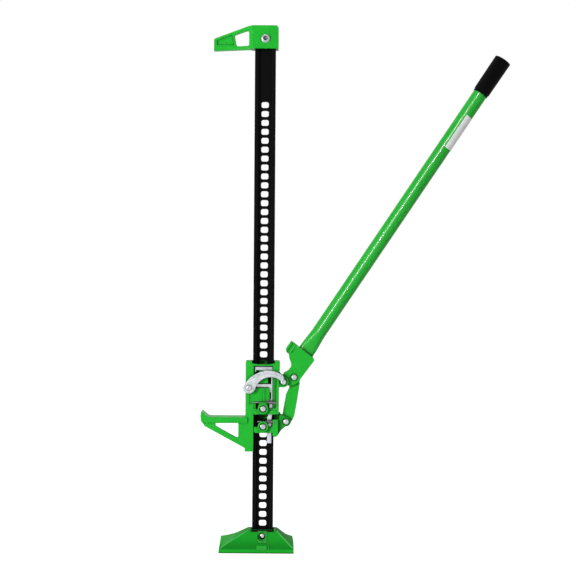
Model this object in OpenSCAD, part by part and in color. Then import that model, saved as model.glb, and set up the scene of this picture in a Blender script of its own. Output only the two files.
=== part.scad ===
// High lift jack: a perforated rack on a cast foot, a climbing carriage with a nose, and a pump handle.
// Origin on the ground under the rack's axis; X runs across the rack away from the nose, Z is up.

/* [Rack] */
// Width across the two flanges
rack_w = 48; // [42:1:56]
// Depth from front to back
rack_depth = 24; // [20:1:30]
// Thickness of the web that carries the climbing holes
rack_web = 8; // [6:0.5:9]
// Thickness of a flange at its edge
rack_flange = 8.6; // [7:0.2:10]
// Distance from one climbing hole to the next
hole_pitch = 20.5; // [19:0.5:24]
// Number of climbing holes
hole_count = 48; // [40:1:60]
// Width of a climbing hole
hole_w = 16.6; // [15:0.2:20]
// Height of a climbing hole
hole_h = 13.8; // [13.6:0.2:16]
// Corner radius of a climbing hole
hole_round = 4.4; // [2:0.2:6]
// Height of the lowest hole above the ground
first_hole_z = 60.5; // [58:0.5:80]
// Plain length of rack above the highest hole's centre
rack_plain = 174.5; // [120:1:260]

/* [Base] */
// Reach of the foot on the nose side
base_left = 99.5; // [80:1:130]
// Reach of the foot on the handle side
base_right = 72.5; // [60:1:110]
// Depth of the foot from front to back
base_depth = 112; // [90:1:150]
// Height of the foot's outer edge
base_edge = 7; // [5:0.5:10]
// Height of the ridge at its two ends
base_ridge_end = 30.5; // [22:0.5:36]
// Height of the collar that grips the rack
collar_top = 48; // [42:1:50]
// Wall of the collar beside the rack's flanges
collar_side = 7.4; // [5:0.2:10]
// Wall of the collar in front of and behind the rack
collar_face = 6.2; // [5:0.2:9]
// Thickness of metal under the rack's foot
base_floor = 8; // [5:0.5:12]
// Thickness of the cast walls of the foot
base_wall = 8; // [5:0.5:10]
// Diameter of the bolt through collar and rack
base_bolt_d = 10; // [8:1:12]
// Height of that bolt
base_bolt_z = 34; // [28:1:38]

/* [Top clamp] */
// Reach of the clamp on the nose side
clamp_reach = 118.4; // [90:1:150]
// Height of the clamp
clamp_h = 52.7; // [46:0.5:64]
// Wall of the clamp around the rack
clamp_wall = 5.6; // [4:0.2:8]
// Depth of the clamp's body
clamp_depth = 42; // [36:1:50]
// Thickness of the clamp's wing
wing_t = 16; // [12:1:24]
// Diameter of the clamp bolt
clamp_bolt_d = 12; // [10:1:14]

/* [Runners] */
// Hole, counted from the ground, at which the lower climbing pin stands
lower_pin_hole = 12; // [10:1:20]
// Holes between the two climbing pins
pin_step = 2; // [2:1:2]
// Height of the large runner's top above the upper pin
runner_top = 108.7; // [104:0.5:120]
// Depth of the large runner's foot below the upper pin
runner_foot = 99; // [94:0.5:110]
// Outer wall of the large runner on the nose side
runner_left_wall = 16.2; // [12:0.1:18]
// Outer wall of the large runner on the handle side
runner_right_wall = 11.6; // [10:0.1:12]
// Reach of the runners in front of the rack's middle plane
runner_front = 24; // [22:0.5:28]
// Reach of the runners behind the rack's middle plane
runner_back = 22; // [20:0.5:28]
// Height of the lower bridge that carries the upper pin
bridge_h = 13.2; // [12:0.2:16]
// Outer radius of a climbing pin's boss
boss_r = 12; // [11:0.2:12.4]
// Reach of a boss in front of the rack's middle plane
boss_front = 33; // [30:0.5:38]
// Length of the lifting nose from the rack's axis to its tip
nose_len = 142; // [120:1:170]
// Depth of the nose's top face below the upper pin
nose_drop = 20.5; // [18:0.5:30]
// Overhang of the nose's top plate in front of and behind the runner's body
nose_over = 3; // [1:0.5:6]
// Thickness of the nose's web, flush with the runner's front
nose_web = 14; // [10:1:24]

/* [Climbing pins] */
// Diameter of a climbing pin
pin_d = 12.4; // [11:0.2:12.8]
// Length of a climbing pin
pin_len = 27; // [24:0.5:30]
// Diameter of a cross pin
cross_d = 4; // [3:0.2:4.4]
// Wire diameter of a pin spring
wire_d = 1.8; // [1.2:0.1:2]
// Turns of a pin spring
spring_turns = 4; // [3:1:4]

/* [Linkage] */
// Distance of the socket's pivot from the rack's axis
pivot_x = 46.1; // [44:0.1:50]
// Height of the socket's pivot above the upper pin
pivot_up = 61.3; // [58:0.1:66]
// Distance between the socket's two pivots
crank = 26.5; // [25:0.1:28]
// Angle of the handle above the horizontal at rest
handle_angle = 56.35; // [50:0.05:64]
// Distance of the small runner's pivot from the rack's axis
ear_x = 52.5; // [50:0.1:55]
// Height of the small runner's pivot above the lower pin
ear_up = 10.4; // [8:0.1:14]
// Diameter of the pivot bolts
pivot_d = 9.6; // [8:0.2:10]
// Thickness of the pitman
pitman_t = 16; // [12:0.5:18]
// Thickness of each cheek of the socket and of the small runner's ear
cheek_t = 7; // [6:0.2:8]
// Thickness of each cheek of the large runner's ear
ear_t = 7; // [6:0.2:8]

/* [Handle] */
// Outer diameter of the handle tube
tube_d = 33.4; // [28:0.2:35]
// Wall of the handle tube
tube_wall = 3; // [2:0.2:4]
// Distance from the socket's pivot to the handle's end
handle_len = 895; // [700:1:1000]
// Width of the tube where it is flattened for the socket
flat_w = 38.6; // [36:0.2:41]
// Thickness of the tube where it is flattened
flat_t = 17.7; // [15:0.1:19]
// Length of the rubber grip
grip_len = 94; // [80:1:130]
// Diameter of the grip at its open end
grip_d_low = 38.4; // [35:0.1:40]
// Diameter of the grip at its closed end
grip_d_high = 39.8; // [36:0.1:42]
// Length of the label
label_len = 88; // [60:1:120]

/* [Latch] */
// Thickness of the reversing latch
latch_t = 6; // [4:0.5:8]
// Radius of the disc at the latch's pivot
latch_disc_r = 13.7; // [12:0.1:15]
// Thickness of the shifter bar
shifter_t = 2.4; // [2:0.1:2.6]

/* [Hidden] */
$fn = 64;

// Clearances and the one overrun for cuts
slide_gap = 0.4;
fit_gap = 0.05;
side_gap = 0.6;
overrun = 1;

// Colours of the finishes
green = [0.16, 0.72, 0.2];
black = [0.07, 0.07, 0.08];
zinc = [0.8, 0.82, 0.86];
steel = [0.6, 0.62, 0.65];
white = [0.94, 0.95, 0.94];

// Rack
half_w = rack_w / 2;
half_d = rack_depth / 2;
half_web = rack_web / 2;
flange_taper = rack_flange * 0.14;
flange_edge = rack_flange * 0.1;
rack_top = first_hole_z + (hole_count - 1) * hole_pitch + rack_plain;
upper_pin_z = first_hole_z + (lower_pin_hole - 1 + pin_step) * hole_pitch;
lower_pin_z = first_hole_z + (lower_pin_hole - 1) * hole_pitch;

// Base
collar_x = half_w + slide_gap + collar_side;
collar_y = half_d + slide_gap + collar_face;
base_curve = 1.6;
base_draft = base_edge * 0.8;
base_rings = 6;
seat_depth = collar_face * 0.35;

// Top clamp
clamp_top = rack_top + clamp_wall;
clamp_z = clamp_top - clamp_h;
clamp_bolt_z = clamp_z + clamp_h * 0.42;
clamp_x = half_w + slide_gap + clamp_wall;
clamp_reach_shares = [[-1, -0.09], [-1, 0.4], [-0.983, 0.447], [-0.33, 1], [-0.2, 1], [-0.2, 0]];
window_shares = [[-0.597, 0.6], [-0.575, 0.628], [-0.372, 0.795], [-0.345, 0.8], [-0.319, 0.74],
    [-0.319, 0.18], [-0.335, 0.14], [-0.545, 0.14], [-0.565, 0.18]];
panel_shares = [[-0.94, 0.16], [-0.94, 0.36], [-0.66, 0.6], [-0.64, 0.57], [-0.61, 0.16]];
panel_depth = wing_t * 0.16;
wing_flare = clamp_reach * 0.06;

// Runners
run_x = half_w + slide_gap;
run_y = half_d + slide_gap;
lip_x = half_w - rack_flange * 0.23;
left_x = run_x + runner_left_wall;
right_x = run_x + runner_right_wall;
plate_back = run_y + slide_gap;
plate_front = plate_back + shifter_t;
bridge_back = plate_front + slide_gap;
counterbore_r = boss_r * 0.69;
counterbore_depth = (boss_front - runner_front) * 0.6;
inner_boss_r = pin_d / 2 + pin_d * 0.17;
inner_boss_y = half_web + side_gap * 1.6;
pin_clear = slide_gap + fit_gap * 2;
top_bridge_h = runner_top * 0.05;
top_bridge_top = runner_top * 0.95;
top_bridge_low = top_bridge_top - top_bridge_h;
panel_low = runner_top * 0.15;
panel_high = runner_top * 0.433;
panel_right = run_x * 0.6;
panel_front = runner_front * 0.93;
rib_w = panel_right * 0.3;
column_round = runner_right_wall * 0.34;
keel_low_top = runner_top * 0.3;
guide_low = runner_top * 0.535;
guide_high = runner_top * 0.66;
guide_w = run_x * 0.84;
guide_shift = run_x * 0.03;
back_bridge_h = runner_top * 0.2;
scoop = runner_top * 0.022;
scoop_r = run_x * run_x / scoop / 2 + scoop / 2;
mouth_gap = side_gap * 3;
recess_depth = runner_front * 0.24;
recess_high = runner_top * 0.66;
shoulder_x = right_x * 1.05;
shoulder_low = runner_top * 0.8;

// Socket pivots: C on the large runner, A the pitman's top, B the pitman's bottom
pivot_z = upper_pin_z + pivot_up;
crank_angle = handle_angle - 33.5;
top_x = pivot_x + crank * cos(crank_angle);
top_z = pivot_z + crank * sin(crank_angle);
bottom_z = lower_pin_z + ear_up;
pitman_len = norm([top_x - ear_x, top_z - bottom_z]);
pitman_lean = atan((top_x - ear_x) / (top_z - bottom_z));
pitman_y = pitman_t / 2;
cheek_in = pitman_y + slide_gap;
cheek_out = cheek_in + cheek_t;
ear_in = cheek_out + slide_gap;
ear_out = ear_in + ear_t;
head_h = pivot_d * 0.5;
head_r = pivot_d * 0.72;
head_seat = cheek_t * 0.25;
seat_r = head_r * 1.3;
nut_r = pivot_d * 0.9;
nut_h = pivot_d * 0.7;
hub_r = pivot_d * 1.28;
lobe_r = pivot_d * 1.6;

// Nose, as shares of its reach beyond the column and of its height over the runner's foot
nose_top_z = upper_pin_z - nose_drop;
foot_z = upper_pin_z - runner_foot;
nose_h = nose_top_z - foot_z;
nose_shares = [[-0.05, 0], [0.012, 0], [0.012, 0.1], [0.03, 0.116], [0.92, 0.737], [0.986, 0.88],
    [0.986, 0.98], [-0.05, 0.98]];
nose_window_shares = [[0.667, 0.828], [0.679, 0.81], [0.663, 0.73], [0.202, 0.409], [0.169, 0.412],
    [0.158, 0.45], [0.159, 0.82], [0.169, 0.833]];
nose_top_shares = [[-0.05, 1], [0.82, 1], [0.861, 1.03], [0.98, 1.155], [1, 1.16], [1.014, 1.05],
    [1, 0.88], [0.98, 0.84], [-0.05, 0.84]];
nose_front = runner_front + nose_over;
nose_back = runner_back + nose_over;

// Handle frame: u runs along the handle from pivot C, w to the handle's upper left side
tube_w = -crank * 0.19;
mouth_u = crank * 3.26;
socket_shares = [[-0.1, -0.42], [0.05, -0.74], [0.31, -0.96], [0.72, -1.06], [1.07, -1.1], [3.02, -1.19],
    [3.17, -1.02], [3.25, 0.5], [2.23, 0.93], [1.94, 0.69], [1.74, 0.4], [1.55, 0.22], [1.3, 0.15],
    [1.05, 0.18], [0.8, 0.29], [0.6, 0.36], [0.3, 0.34]];
lug_shares = [[3.25, 0.4], [3.31, 1.36], [3.26, 1.4], [2.46, 1.41], [2.4, 1.36], [2.27, 1.2], [2.24, 0.88],
    [2.3, 0.4]];
lug_out = cheek_out * 1.25;
lug_width_shares = [[0.3, 1], [0.5, 1], [0.79, 0.8], [1.21, 0.8], [1.23, 0.95], [1.5, 0.95]];
lug_in = half_d + side_gap;
body_out = cheek_out - fit_gap;
slot_u = mouth_u - flat_w * 0.93;
flare_u = mouth_u + tube_wall;
round_u = flare_u + flat_w * 1.35;
flare_steps = 8;
grip_end = grip_len * 0.04;
tube_end = handle_len - grip_end - slide_gap;
label_t = tube_wall * 0.13;
label_u = handle_len - grip_len - label_len - tube_d * 1.77;
handle_bolt_d = crank * 0.3;
handle_bolt_u = mouth_u - flat_w * 0.34;

// Latch and shifter bar, as shares of the runner's height above the upper pin and of the rack's half width
latch_x = -half_w * 1.36;
latch_z = upper_pin_z + runner_top * 0.446;
latch_back = ear_out + head_h + slide_gap;
latch_front = latch_back + latch_t;
latch_hole_r = latch_disc_r * 0.3;
arc_outer_r = half_w * 2.452;
arc_outer_x = half_w * 0.4;
arc_outer_up = runner_top * 0.27;
arc_inner_r = half_w * 1.512;
arc_inner_x = half_w * 0.706;
arc_inner_up = runner_top * 0.336;
latch_tip_x = half_w * 1.73;
latch_tip_up = runner_top * 0.64;
latch_tip_r = latch_disc_r * 0.42;
shifter_shares = [[-0.81, 0.877], [0.885, 0.877], [0.885, -0.1], [0.8, -0.2], [0.8, -0.74], [0.39, -0.74],
    [0.39, -0.2], [0.57, -0.1], [0.6, 0.18], [0.74, 0.2], [0.74, 0.335], [0.52, 0.335], [0.52, 0.443],
    [-0.66, 0.443], [-0.66, 0.513], [0.76, 0.513], [0.76, 0.805], [0.25, 0.805], [0.08, 0.768],
    [-0.09, 0.805], [-0.69, 0.805], [-0.69, 0.765], [-0.81, 0.765]];

// Pin springs
coil_r = cross_d / 2 + wire_d * 0.9;
coil_pitch = wire_d * 1.32;
coil_y = -(bridge_back + plate_front * 0.3);
coil_end = lip_x - wire_d * 0.8;
coil_start = coil_end - spring_turns * coil_pitch;
coil_rings = 8;
wire_sides = 6;
upper_cross_z = upper_pin_z + boss_r + cross_d / 2 - slide_gap * 0.5;
lower_cross_z = lower_pin_z + boss_r * 0.88;

// A slab between two planes across Y, from an outline drawn in X and Z
module slab(y0, y1) {
    translate([0, y1, 0]) rotate([90, 0, 0]) linear_extrude(y1 - y0) children();
}

// A round rod along Y
module rod_y(x, z, y0, y1, r) {
    translate([x, y1, z]) rotate([90, 0, 0]) cylinder(h = y1 - y0, r = r);
}

// A round rod along X
module rod_x(x0, x1, y, z, r) {
    translate([x0, y, z]) rotate([0, 90, 0]) cylinder(h = x1 - x0, r = r);
}

// A block given by its lowest and highest corners
module block(low, high) {
    translate(low) cube(high - low);
}

// A hexagon prism along Y
module hex_y(x, z, y0, y1, r) {
    translate([x, y1, z]) rotate([90, 0, 0]) cylinder(h = y1 - y0, r = r, $fn = 6);
}

// A rounded rectangle made of true arcs, centred on the origin
module round_rect(w, h, r) {
    square([w - 2 * r, h], center = true);
    square([w, h - 2 * r], center = true);
    for (sx = [-1, 1], sy = [-1, 1])
        translate([sx * (w / 2 - r), sy * (h / 2 - r)]) circle(r);
}

// A frame whose X runs along the handle and whose Y runs to its upper left side
module handle_frame() {
    translate([pivot_x, pivot_z]) rotate(handle_angle) children();
}

// The same frame for solids
module handle_space() {
    translate([pivot_x, 0, pivot_z]) rotate([0, -handle_angle, 0]) children();
}

// A bolt along Y with a domed round head at the front
module round_bolt(x, z, head_y, back_y, r, top_r, top_h) {
    rod_y(x, z, head_y, back_y, r);
    rod_y(x, z, head_y - top_h * 0.7, head_y, top_r);
    rod_y(x, z, head_y - top_h, head_y, top_r * 0.78);
}

// A hexagon nut on a bolt along Y
module hex_nut(x, z, y0, y1, r, bore_r) {
    difference() {
        hex_y(x, z, y0, y1, r);
        rod_y(x, z, y0 - overrun, y1 + overrun, bore_r);
    }
}

module rack() {
    color(black) difference() {
        union() {
            slab(-half_web, half_web) difference() {
                translate([rack_flange - half_w, base_floor])
                    square([rack_w - 2 * rack_flange, rack_top - base_floor]);
                for (i = [0 : hole_count - 1])
                    translate([0, first_hole_z + i * hole_pitch]) round_rect(hole_w, hole_h, hole_round);
            }
            for (s = [-1, 1])
                translate([0, 0, base_floor]) linear_extrude(rack_top - base_floor) polygon([
                    [s * half_w, flange_edge - half_d],
                    [s * half_w, half_d - flange_edge],
                    [s * (half_w - flange_edge), half_d],
                    [s * (half_w - rack_flange), half_d],
                    [s * (half_w - rack_flange - flange_taper), half_web],
                    [s * (half_w - rack_flange - flange_taper), -half_web],
                    [s * (half_w - rack_flange), -half_d],
                    [s * (half_w - flange_edge), -half_d]
                ]);
        }
        rod_y(0, base_bolt_z, -half_d, half_d, base_bolt_d / 2 + fit_gap);
        rod_y(0, clamp_bolt_z, -half_d, half_d, clamp_bolt_d / 2 + fit_gap);
    }
}

// One cross-section of the foot at share t of the way from the collar to an end
function base_section(s, reach, t) =
    let (
        ridge = base_ridge_end + (collar_top - base_ridge_end) * pow(1 - t, base_curve),
        x = s * (collar_x + (reach - collar_x) * t),
        lean = s * base_draft * (t == 1 ? 1 : 0) / collar_top,
        yd = collar_y + (base_depth / 2 - base_edge / 3 - collar_y) * t,
        zd = collar_top - (collar_top - base_edge) * (yd - collar_y) / (base_depth / 2 - collar_y)
    )
    [for (p = [[-base_depth / 2, 0], [-base_depth / 2, base_edge], [-yd, zd], [0, ridge], [yd, zd],
        [base_depth / 2, base_edge], [base_depth / 2, 0]]) [x - lean * p[1], p[0], p[1]]];

module foot_solid() {
    sections = concat(
        [for (i = [base_rings : -1 : 0]) base_section(-1, base_left, i / base_rings)],
        [for (i = [0 : base_rings]) base_section(1, base_right, i / base_rings)]
    );
    n = 7;
    last = len(sections) - 1;
    polyhedron(
        [for (ring = sections) for (p = ring) p],
        concat(
            [[for (j = [n - 1 : -1 : 0]) j]],
            [[for (j = [0 : n - 1]) last * n + j]],
            [for (i = [0 : last - 1], j = [0 : n - 1])
                [i * n + j, i * n + (j + 1) % n, (i + 1) * n + (j + 1) % n]],
            [for (i = [0 : last - 1], j = [0 : n - 1])
                [i * n + j, (i + 1) * n + (j + 1) % n, (i + 1) * n + j]]
        )
    );
}

// A tapered pocket open at the ground, between two places along X
module foot_pocket(x0, x1) {
    y0 = base_depth / 2 - base_wall;
    y1 = collar_y * 0.7;
    z1 = base_ridge_end - base_wall;
    z0 = -base_wall * 0.15;
    inset = base_wall * 0.8;
    polyhedron(
        [[x0, -y0, z0], [x1, -y0, z0], [x1, y0, z0], [x0, y0, z0],
            [x0 + inset, -y1, z1], [x1 - inset, -y1, z1], [x1 - inset, y1, z1], [x0 + inset, y1, z1]],
        [[0, 1, 2, 3], [7, 6, 5, 4], [0, 4, 5, 1], [1, 5, 6, 2], [2, 6, 7, 3], [3, 7, 4, 0]]
    );
}

module base_plate() {
    front_seat = collar_y + seat_depth;
    color(green) difference() {
        foot_solid();
        foot_pocket(base_wall - base_left, -collar_x);
        foot_pocket(collar_x, base_right - base_wall);
        block([-half_w - slide_gap, -half_d - slide_gap, base_floor],
            [half_w + slide_gap, half_d + slide_gap, collar_top + overrun]);
        rod_y(0, base_bolt_z, -base_depth / 2, base_depth / 2, base_bolt_d / 2 + fit_gap);
        rod_y(0, base_bolt_z, -base_depth / 2, -front_seat, base_bolt_d * 0.85);
        rod_y(0, base_bolt_z, front_seat, base_depth / 2, base_bolt_d * 1.1);
    }
}

module base_bolt() {
    color(zinc) round_bolt(0, base_bolt_z, -collar_y - seat_depth,
        collar_y + seat_depth + base_bolt_d, base_bolt_d / 2, base_bolt_d * 0.64, base_bolt_d * 0.5);
}

module base_nut() {
    back = collar_y + seat_depth;
    color(zinc) hex_nut(0, base_bolt_z, back, back + base_bolt_d * 0.8, base_bolt_d * 0.95,
        base_bolt_d / 2 + fit_gap);
}

module clamp_outline(shares) {
    polygon([for (s = shares) [s[0] * clamp_reach, clamp_z + s[1] * clamp_h]]);
}

module top_clamp() {
    corner = clamp_wall * 1.25;
    color(green) difference() {
        union() {
            slab(-clamp_depth / 2, clamp_depth / 2) {
                translate([-clamp_x, clamp_z]) square([2 * clamp_x - corner, clamp_h]);
                translate([-clamp_x, clamp_z]) square([2 * clamp_x, clamp_h - corner]);
                translate([clamp_x - corner, clamp_top - corner]) circle(corner);
            }
            slab(-wing_t / 2, wing_t / 2) clamp_outline(clamp_reach_shares);
            // The wing flares out to the body's full depth
            intersection() {
                slab(-clamp_depth / 2, clamp_depth / 2) clamp_outline(clamp_reach_shares);
                translate([0, 0, clamp_z - overrun]) linear_extrude(clamp_h + 2 * overrun) polygon([
                    [-clamp_x - wing_flare, -wing_t / 2],
                    [-clamp_x, -clamp_depth / 2],
                    [-half_w, -clamp_depth / 2],
                    [-half_w, clamp_depth / 2],
                    [-clamp_x, clamp_depth / 2],
                    [-clamp_x - wing_flare, wing_t / 2]
                ]);
            }
        }
        slab(-wing_t, wing_t) clamp_outline(window_shares);
        for (s = [0, 1]) mirror([0, s, 0])
            slab(-wing_t, panel_depth - wing_t / 2) clamp_outline(panel_shares);
        block([-half_w - slide_gap, -half_d - slide_gap, clamp_z - overrun],
            [half_w + slide_gap, half_d + slide_gap, rack_top]);
        rod_y(0, clamp_bolt_z, -clamp_depth, clamp_depth, clamp_bolt_d / 2 + fit_gap);
    }
}

module clamp_bolt() {
    front = -clamp_depth / 2;
    color(zinc) {
        rod_y(0, clamp_bolt_z, front, clamp_depth / 2 + clamp_bolt_d, clamp_bolt_d / 2);
        hex_y(0, clamp_bolt_z, front - clamp_bolt_d * 0.6, front, clamp_bolt_d * 0.87);
    }
}

module clamp_nut() {
    color(zinc) hex_nut(0, clamp_bolt_z, clamp_depth / 2, clamp_depth / 2 + clamp_bolt_d * 0.8,
        clamp_bolt_d * 0.87, clamp_bolt_d / 2 + fit_gap);
}

// A climbing pin's boss at height z, arched over by a given rise, and its bore
module pin_boss(z, rise) {
    step = (boss_front - runner_front) / 3;
    rod_y(0, z, -boss_front, -bridge_back, boss_r);
    rod_y(0, z + rise, step - boss_front, -bridge_back, boss_r * 0.96);
    rod_y(0, z, -bridge_back - fit_gap, -inner_boss_y, inner_boss_r);
}

module pin_bore(z) {
    rod_y(0, z, -boss_front - overrun, 0, pin_d / 2 + fit_gap);
    rod_y(0, z, -boss_front - overrun, counterbore_depth - boss_front, counterbore_r);
}

module nose_outline(shares) {
    reach = nose_len - left_x;
    polygon([for (s = shares) [-left_x - s[0] * reach, foot_z + s[1] * nose_h]]);
}

// The lifting nose: a deep web with a window, a top plate and an upturned tip
module nose() {
    slab(-runner_front, nose_web - runner_front) difference() {
        nose_outline(nose_shares);
        nose_outline(nose_window_shares);
    }
    slab(-nose_front, nose_back) nose_outline(nose_top_shares);
}

// The ear that carries the socket, drawn on one side
module ear_outline() {
    translate([pivot_x, pivot_z]) circle(hub_r);
    polygon([
        [run_x + slide_gap, pivot_z - hub_r],
        [pivot_x, pivot_z - hub_r],
        [pivot_x + hub_r * 0.7, pivot_z + hub_r * 0.7],
        [pivot_x, pivot_z + hub_r],
        [pivot_x - hub_r * 0.5, pivot_z + hub_r * 1.35],
        [right_x + side_gap, pivot_z + hub_r * 1.75],
        [run_x + slide_gap, pivot_z + hub_r * 1.9]
    ]);
}

// Keel in the rack's channel, tied to the panel and the top bridge, with the guide of the shifter bar
module keel() {
    for (part = [
        [run_y, panel_low, top_bridge_top],
        [bridge_back + fit_gap, panel_low, keel_low_top],
        [panel_front, guide_low, guide_high],
        [bridge_back + fit_gap, top_bridge_low, top_bridge_top]
    ])
        block([guide_shift - guide_w / 2, -part[0], upper_pin_z + part[1]],
            [guide_shift + guide_w / 2, -inner_boss_y, upper_pin_z + part[2]]);
}

// Front view of a column whose outer top corner is rounded, on the side given by the sign
module column_outline(side, outer, low, high) {
    mirror([side < 0 ? 1 : 0, 0]) {
        translate([lip_x, low]) square([outer - lip_x - column_round, high - low]);
        translate([lip_x, low]) square([outer - lip_x, high - low - column_round]);
        translate([outer - column_round, high - column_round]) circle(column_round);
    }
}

module large_runner() {
    top = upper_pin_z + runner_top;
    low = upper_pin_z - bridge_h;
    shelf = bridge_h * 0.05;
    color(green) difference() {
        union() {
            // Column on the nose side, then the one on the handle side
            slab(-runner_front, runner_back) {
                column_outline(-1, left_x, foot_z, top);
                column_outline(1, right_x, low, top);
                column_outline(1, shoulder_x, upper_pin_z + shoulder_low, top);
            }
            // Bridges in front of the rack
            block([-left_x, -runner_front, low], [right_x, -bridge_back, upper_pin_z - shelf]);
            block([-left_x, -runner_front, upper_pin_z + top_bridge_low],
                [right_x, -bridge_back, upper_pin_z + top_bridge_top]);
            block([-left_x, -panel_front, upper_pin_z + panel_low],
                [panel_right, -bridge_back, upper_pin_z + panel_high]);
            block([-left_x, -panel_front, upper_pin_z - shelf - fit_gap],
                [-boss_r * 1.4, -bridge_back, upper_cross_z - cross_d * 0.6]);
            block([-rib_w * 0.2, -runner_front, upper_pin_z + panel_low],
                [rib_w * 0.8, -panel_front + fit_gap, upper_pin_z + panel_high * 0.95]);
            keel();
            // Bridges behind the rack
            for (z = [upper_pin_z, top - back_bridge_h * 1.02])
                block([-left_x, run_y, z], [right_x, runner_back, z + back_bridge_h]);
            pin_boss(upper_pin_z, boss_r * 0.33);
            slab(-ear_out, -ear_in) ear_outline();
            slab(ear_in, ear_out) ear_outline();
            nose();
        }
        // Open mouth round the rack with a scooped bridge, and the bare back corner over the small runner
        intersection() {
            rod_y(0, upper_pin_z + top_bridge_top - scoop + scoop_r,
                -runner_front - overrun, -inner_boss_y, scoop_r);
            block([-run_x - mouth_gap, -runner_front - overrun, upper_pin_z + top_bridge_low],
                [run_x + mouth_gap, runner_back, top + overrun]);
        }
        block([0, -slide_gap, low - overrun], [right_x + overrun, runner_back + overrun, upper_pin_z]);
        // Recess of the column on the handle side
        block([panel_right + rib_w, -runner_front - overrun, upper_pin_z + shelf],
            [right_x - runner_right_wall / 2, recess_depth - runner_front, upper_pin_z + recess_high]);
        // Recess of the panel, then room for the rack's flanges, the socket's hub and the pins
        block([-left_x + runner_left_wall * 0.55, -runner_front - overrun, upper_pin_z + panel_low * 0.6],
            [-lip_x, -panel_front, upper_pin_z + panel_high]);
        block([-run_x, -run_y, foot_z - overrun], [-half_w + rack_flange, run_y, top + overrun]);
        block([half_w - rack_flange, -run_y, low - overrun], [run_x, run_y, top + overrun]);
        rod_y(pivot_x, pivot_z, -ear_in, ear_in, hub_r + side_gap);
        rod_y(pivot_x, pivot_z, -ear_out - overrun, ear_out + overrun, pivot_d / 2 + fit_gap);
        rod_y(pivot_x, pivot_z, -ear_out - overrun, head_seat - ear_out, seat_r);
        pin_bore(upper_pin_z);
        rod_x(-left_x + runner_left_wall / 2, right_x - runner_right_wall / 3, coil_y, upper_cross_z,
            cross_d / 2 + fit_gap);
        rod_x(coil_start - wire_d, lip_x, coil_y, upper_cross_z, coil_r + wire_d);
        rod_y(latch_x, latch_z, -runner_front - overrun, overrun - run_y, latch_hole_r + fit_gap);
    }
}

module upper_cross_pin() {
    color(steel) rod_x(-left_x + runner_left_wall / 2, right_x - runner_right_wall / 3, coil_y,
        upper_cross_z, cross_d / 2);
}

// Centre line of a torsion spring along X: straight legs of a given length at both ends of the coil
function spring_path(z, leg) = concat(
    [for (i = [0 : 1]) [coil_start, coil_y - coil_r, z + leg * (1 - i / 2)]],
    [for (i = [0 : spring_turns * coil_rings])
        let (a = 360 * i / coil_rings)
        [coil_start + coil_pitch * i / coil_rings, coil_y - coil_r * cos(a), z - coil_r * sin(a)]],
    [for (i = [1 : 2]) [coil_start + coil_pitch * spring_turns, coil_y - coil_r, z - leg * i / 2]]
);

// A tube of round wire along a path whose tangents stay across X
module wire(path) {
    last = len(path) - 1;
    rings = [for (i = [0 : last])
        let (
            t = path[min(i + 1, last)] - path[max(i - 1, 0)],
            n = cross(t, [1, 0, 0]) / norm(cross(t, [1, 0, 0])),
            b = cross(t, n) / norm(cross(t, n))
        )
        [for (j = [0 : wire_sides - 1])
            path[i] + wire_d / 2 * (n * cos(360 * j / wire_sides) + b * sin(360 * j / wire_sides))]];
    polyhedron(
        [for (r = rings) for (p = r) p],
        concat(
            [[for (j = [0 : wire_sides - 1]) j]],
            [[for (j = [wire_sides - 1 : -1 : 0]) last * wire_sides + j]],
            [for (i = [0 : last - 1], j = [0 : wire_sides - 1])
                [i * wire_sides + j, (i + 1) * wire_sides + j, (i + 1) * wire_sides + (j + 1) % wire_sides]],
            [for (i = [0 : last - 1], j = [0 : wire_sides - 1])
                [i * wire_sides + j, (i + 1) * wire_sides + (j + 1) % wire_sides,
                    i * wire_sides + (j + 1) % wire_sides]]
        )
    );
}

// Least free distance between turns, measured on the centre line's points
function least_gap(path) = min([for (i = [0 : len(path) - 1], j = [0 : len(path) - 1])
    if (j - i >= coil_rings - 2) norm(path[i] - path[j])]) - wire_d;
echo(spring_least_gap = least_gap(spring_path(0, coil_r * 2)));

module upper_pin_spring() {
    color(steel) wire(spring_path(upper_cross_z, coil_r * 2.6));
}

module lower_pin_spring() {
    color(steel) wire(spring_path(lower_cross_z, coil_r * 1.5));
}

module shear_bolt() {
    color(zinc) round_bolt(pivot_x, pivot_z, head_seat - ear_out, ear_out + nut_h * 1.3,
        pivot_d / 2, head_r, head_h);
}

module shear_nut() {
    color(zinc) hex_nut(pivot_x, pivot_z, ear_out, ear_out + nut_h, nut_r, pivot_d / 2 + fit_gap);
}

module latch_bolt() {
    head = latch_hole_r * 1.7;
    color(steel) {
        rod_y(latch_x, latch_z, -latch_front - slide_gap, -run_y - fit_gap, latch_hole_r);
        rod_y(latch_x, latch_z, -latch_front - slide_gap - latch_t * 0.5, -latch_front - slide_gap, head);
    }
}

module latch_washer() {
    color(zinc) difference() {
        rod_y(latch_x, latch_z, slide_gap - latch_back, -runner_front, latch_disc_r * 0.8);
        rod_y(latch_x, latch_z, -latch_back, overrun - runner_front, latch_hole_r + fit_gap);
    }
}

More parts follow.
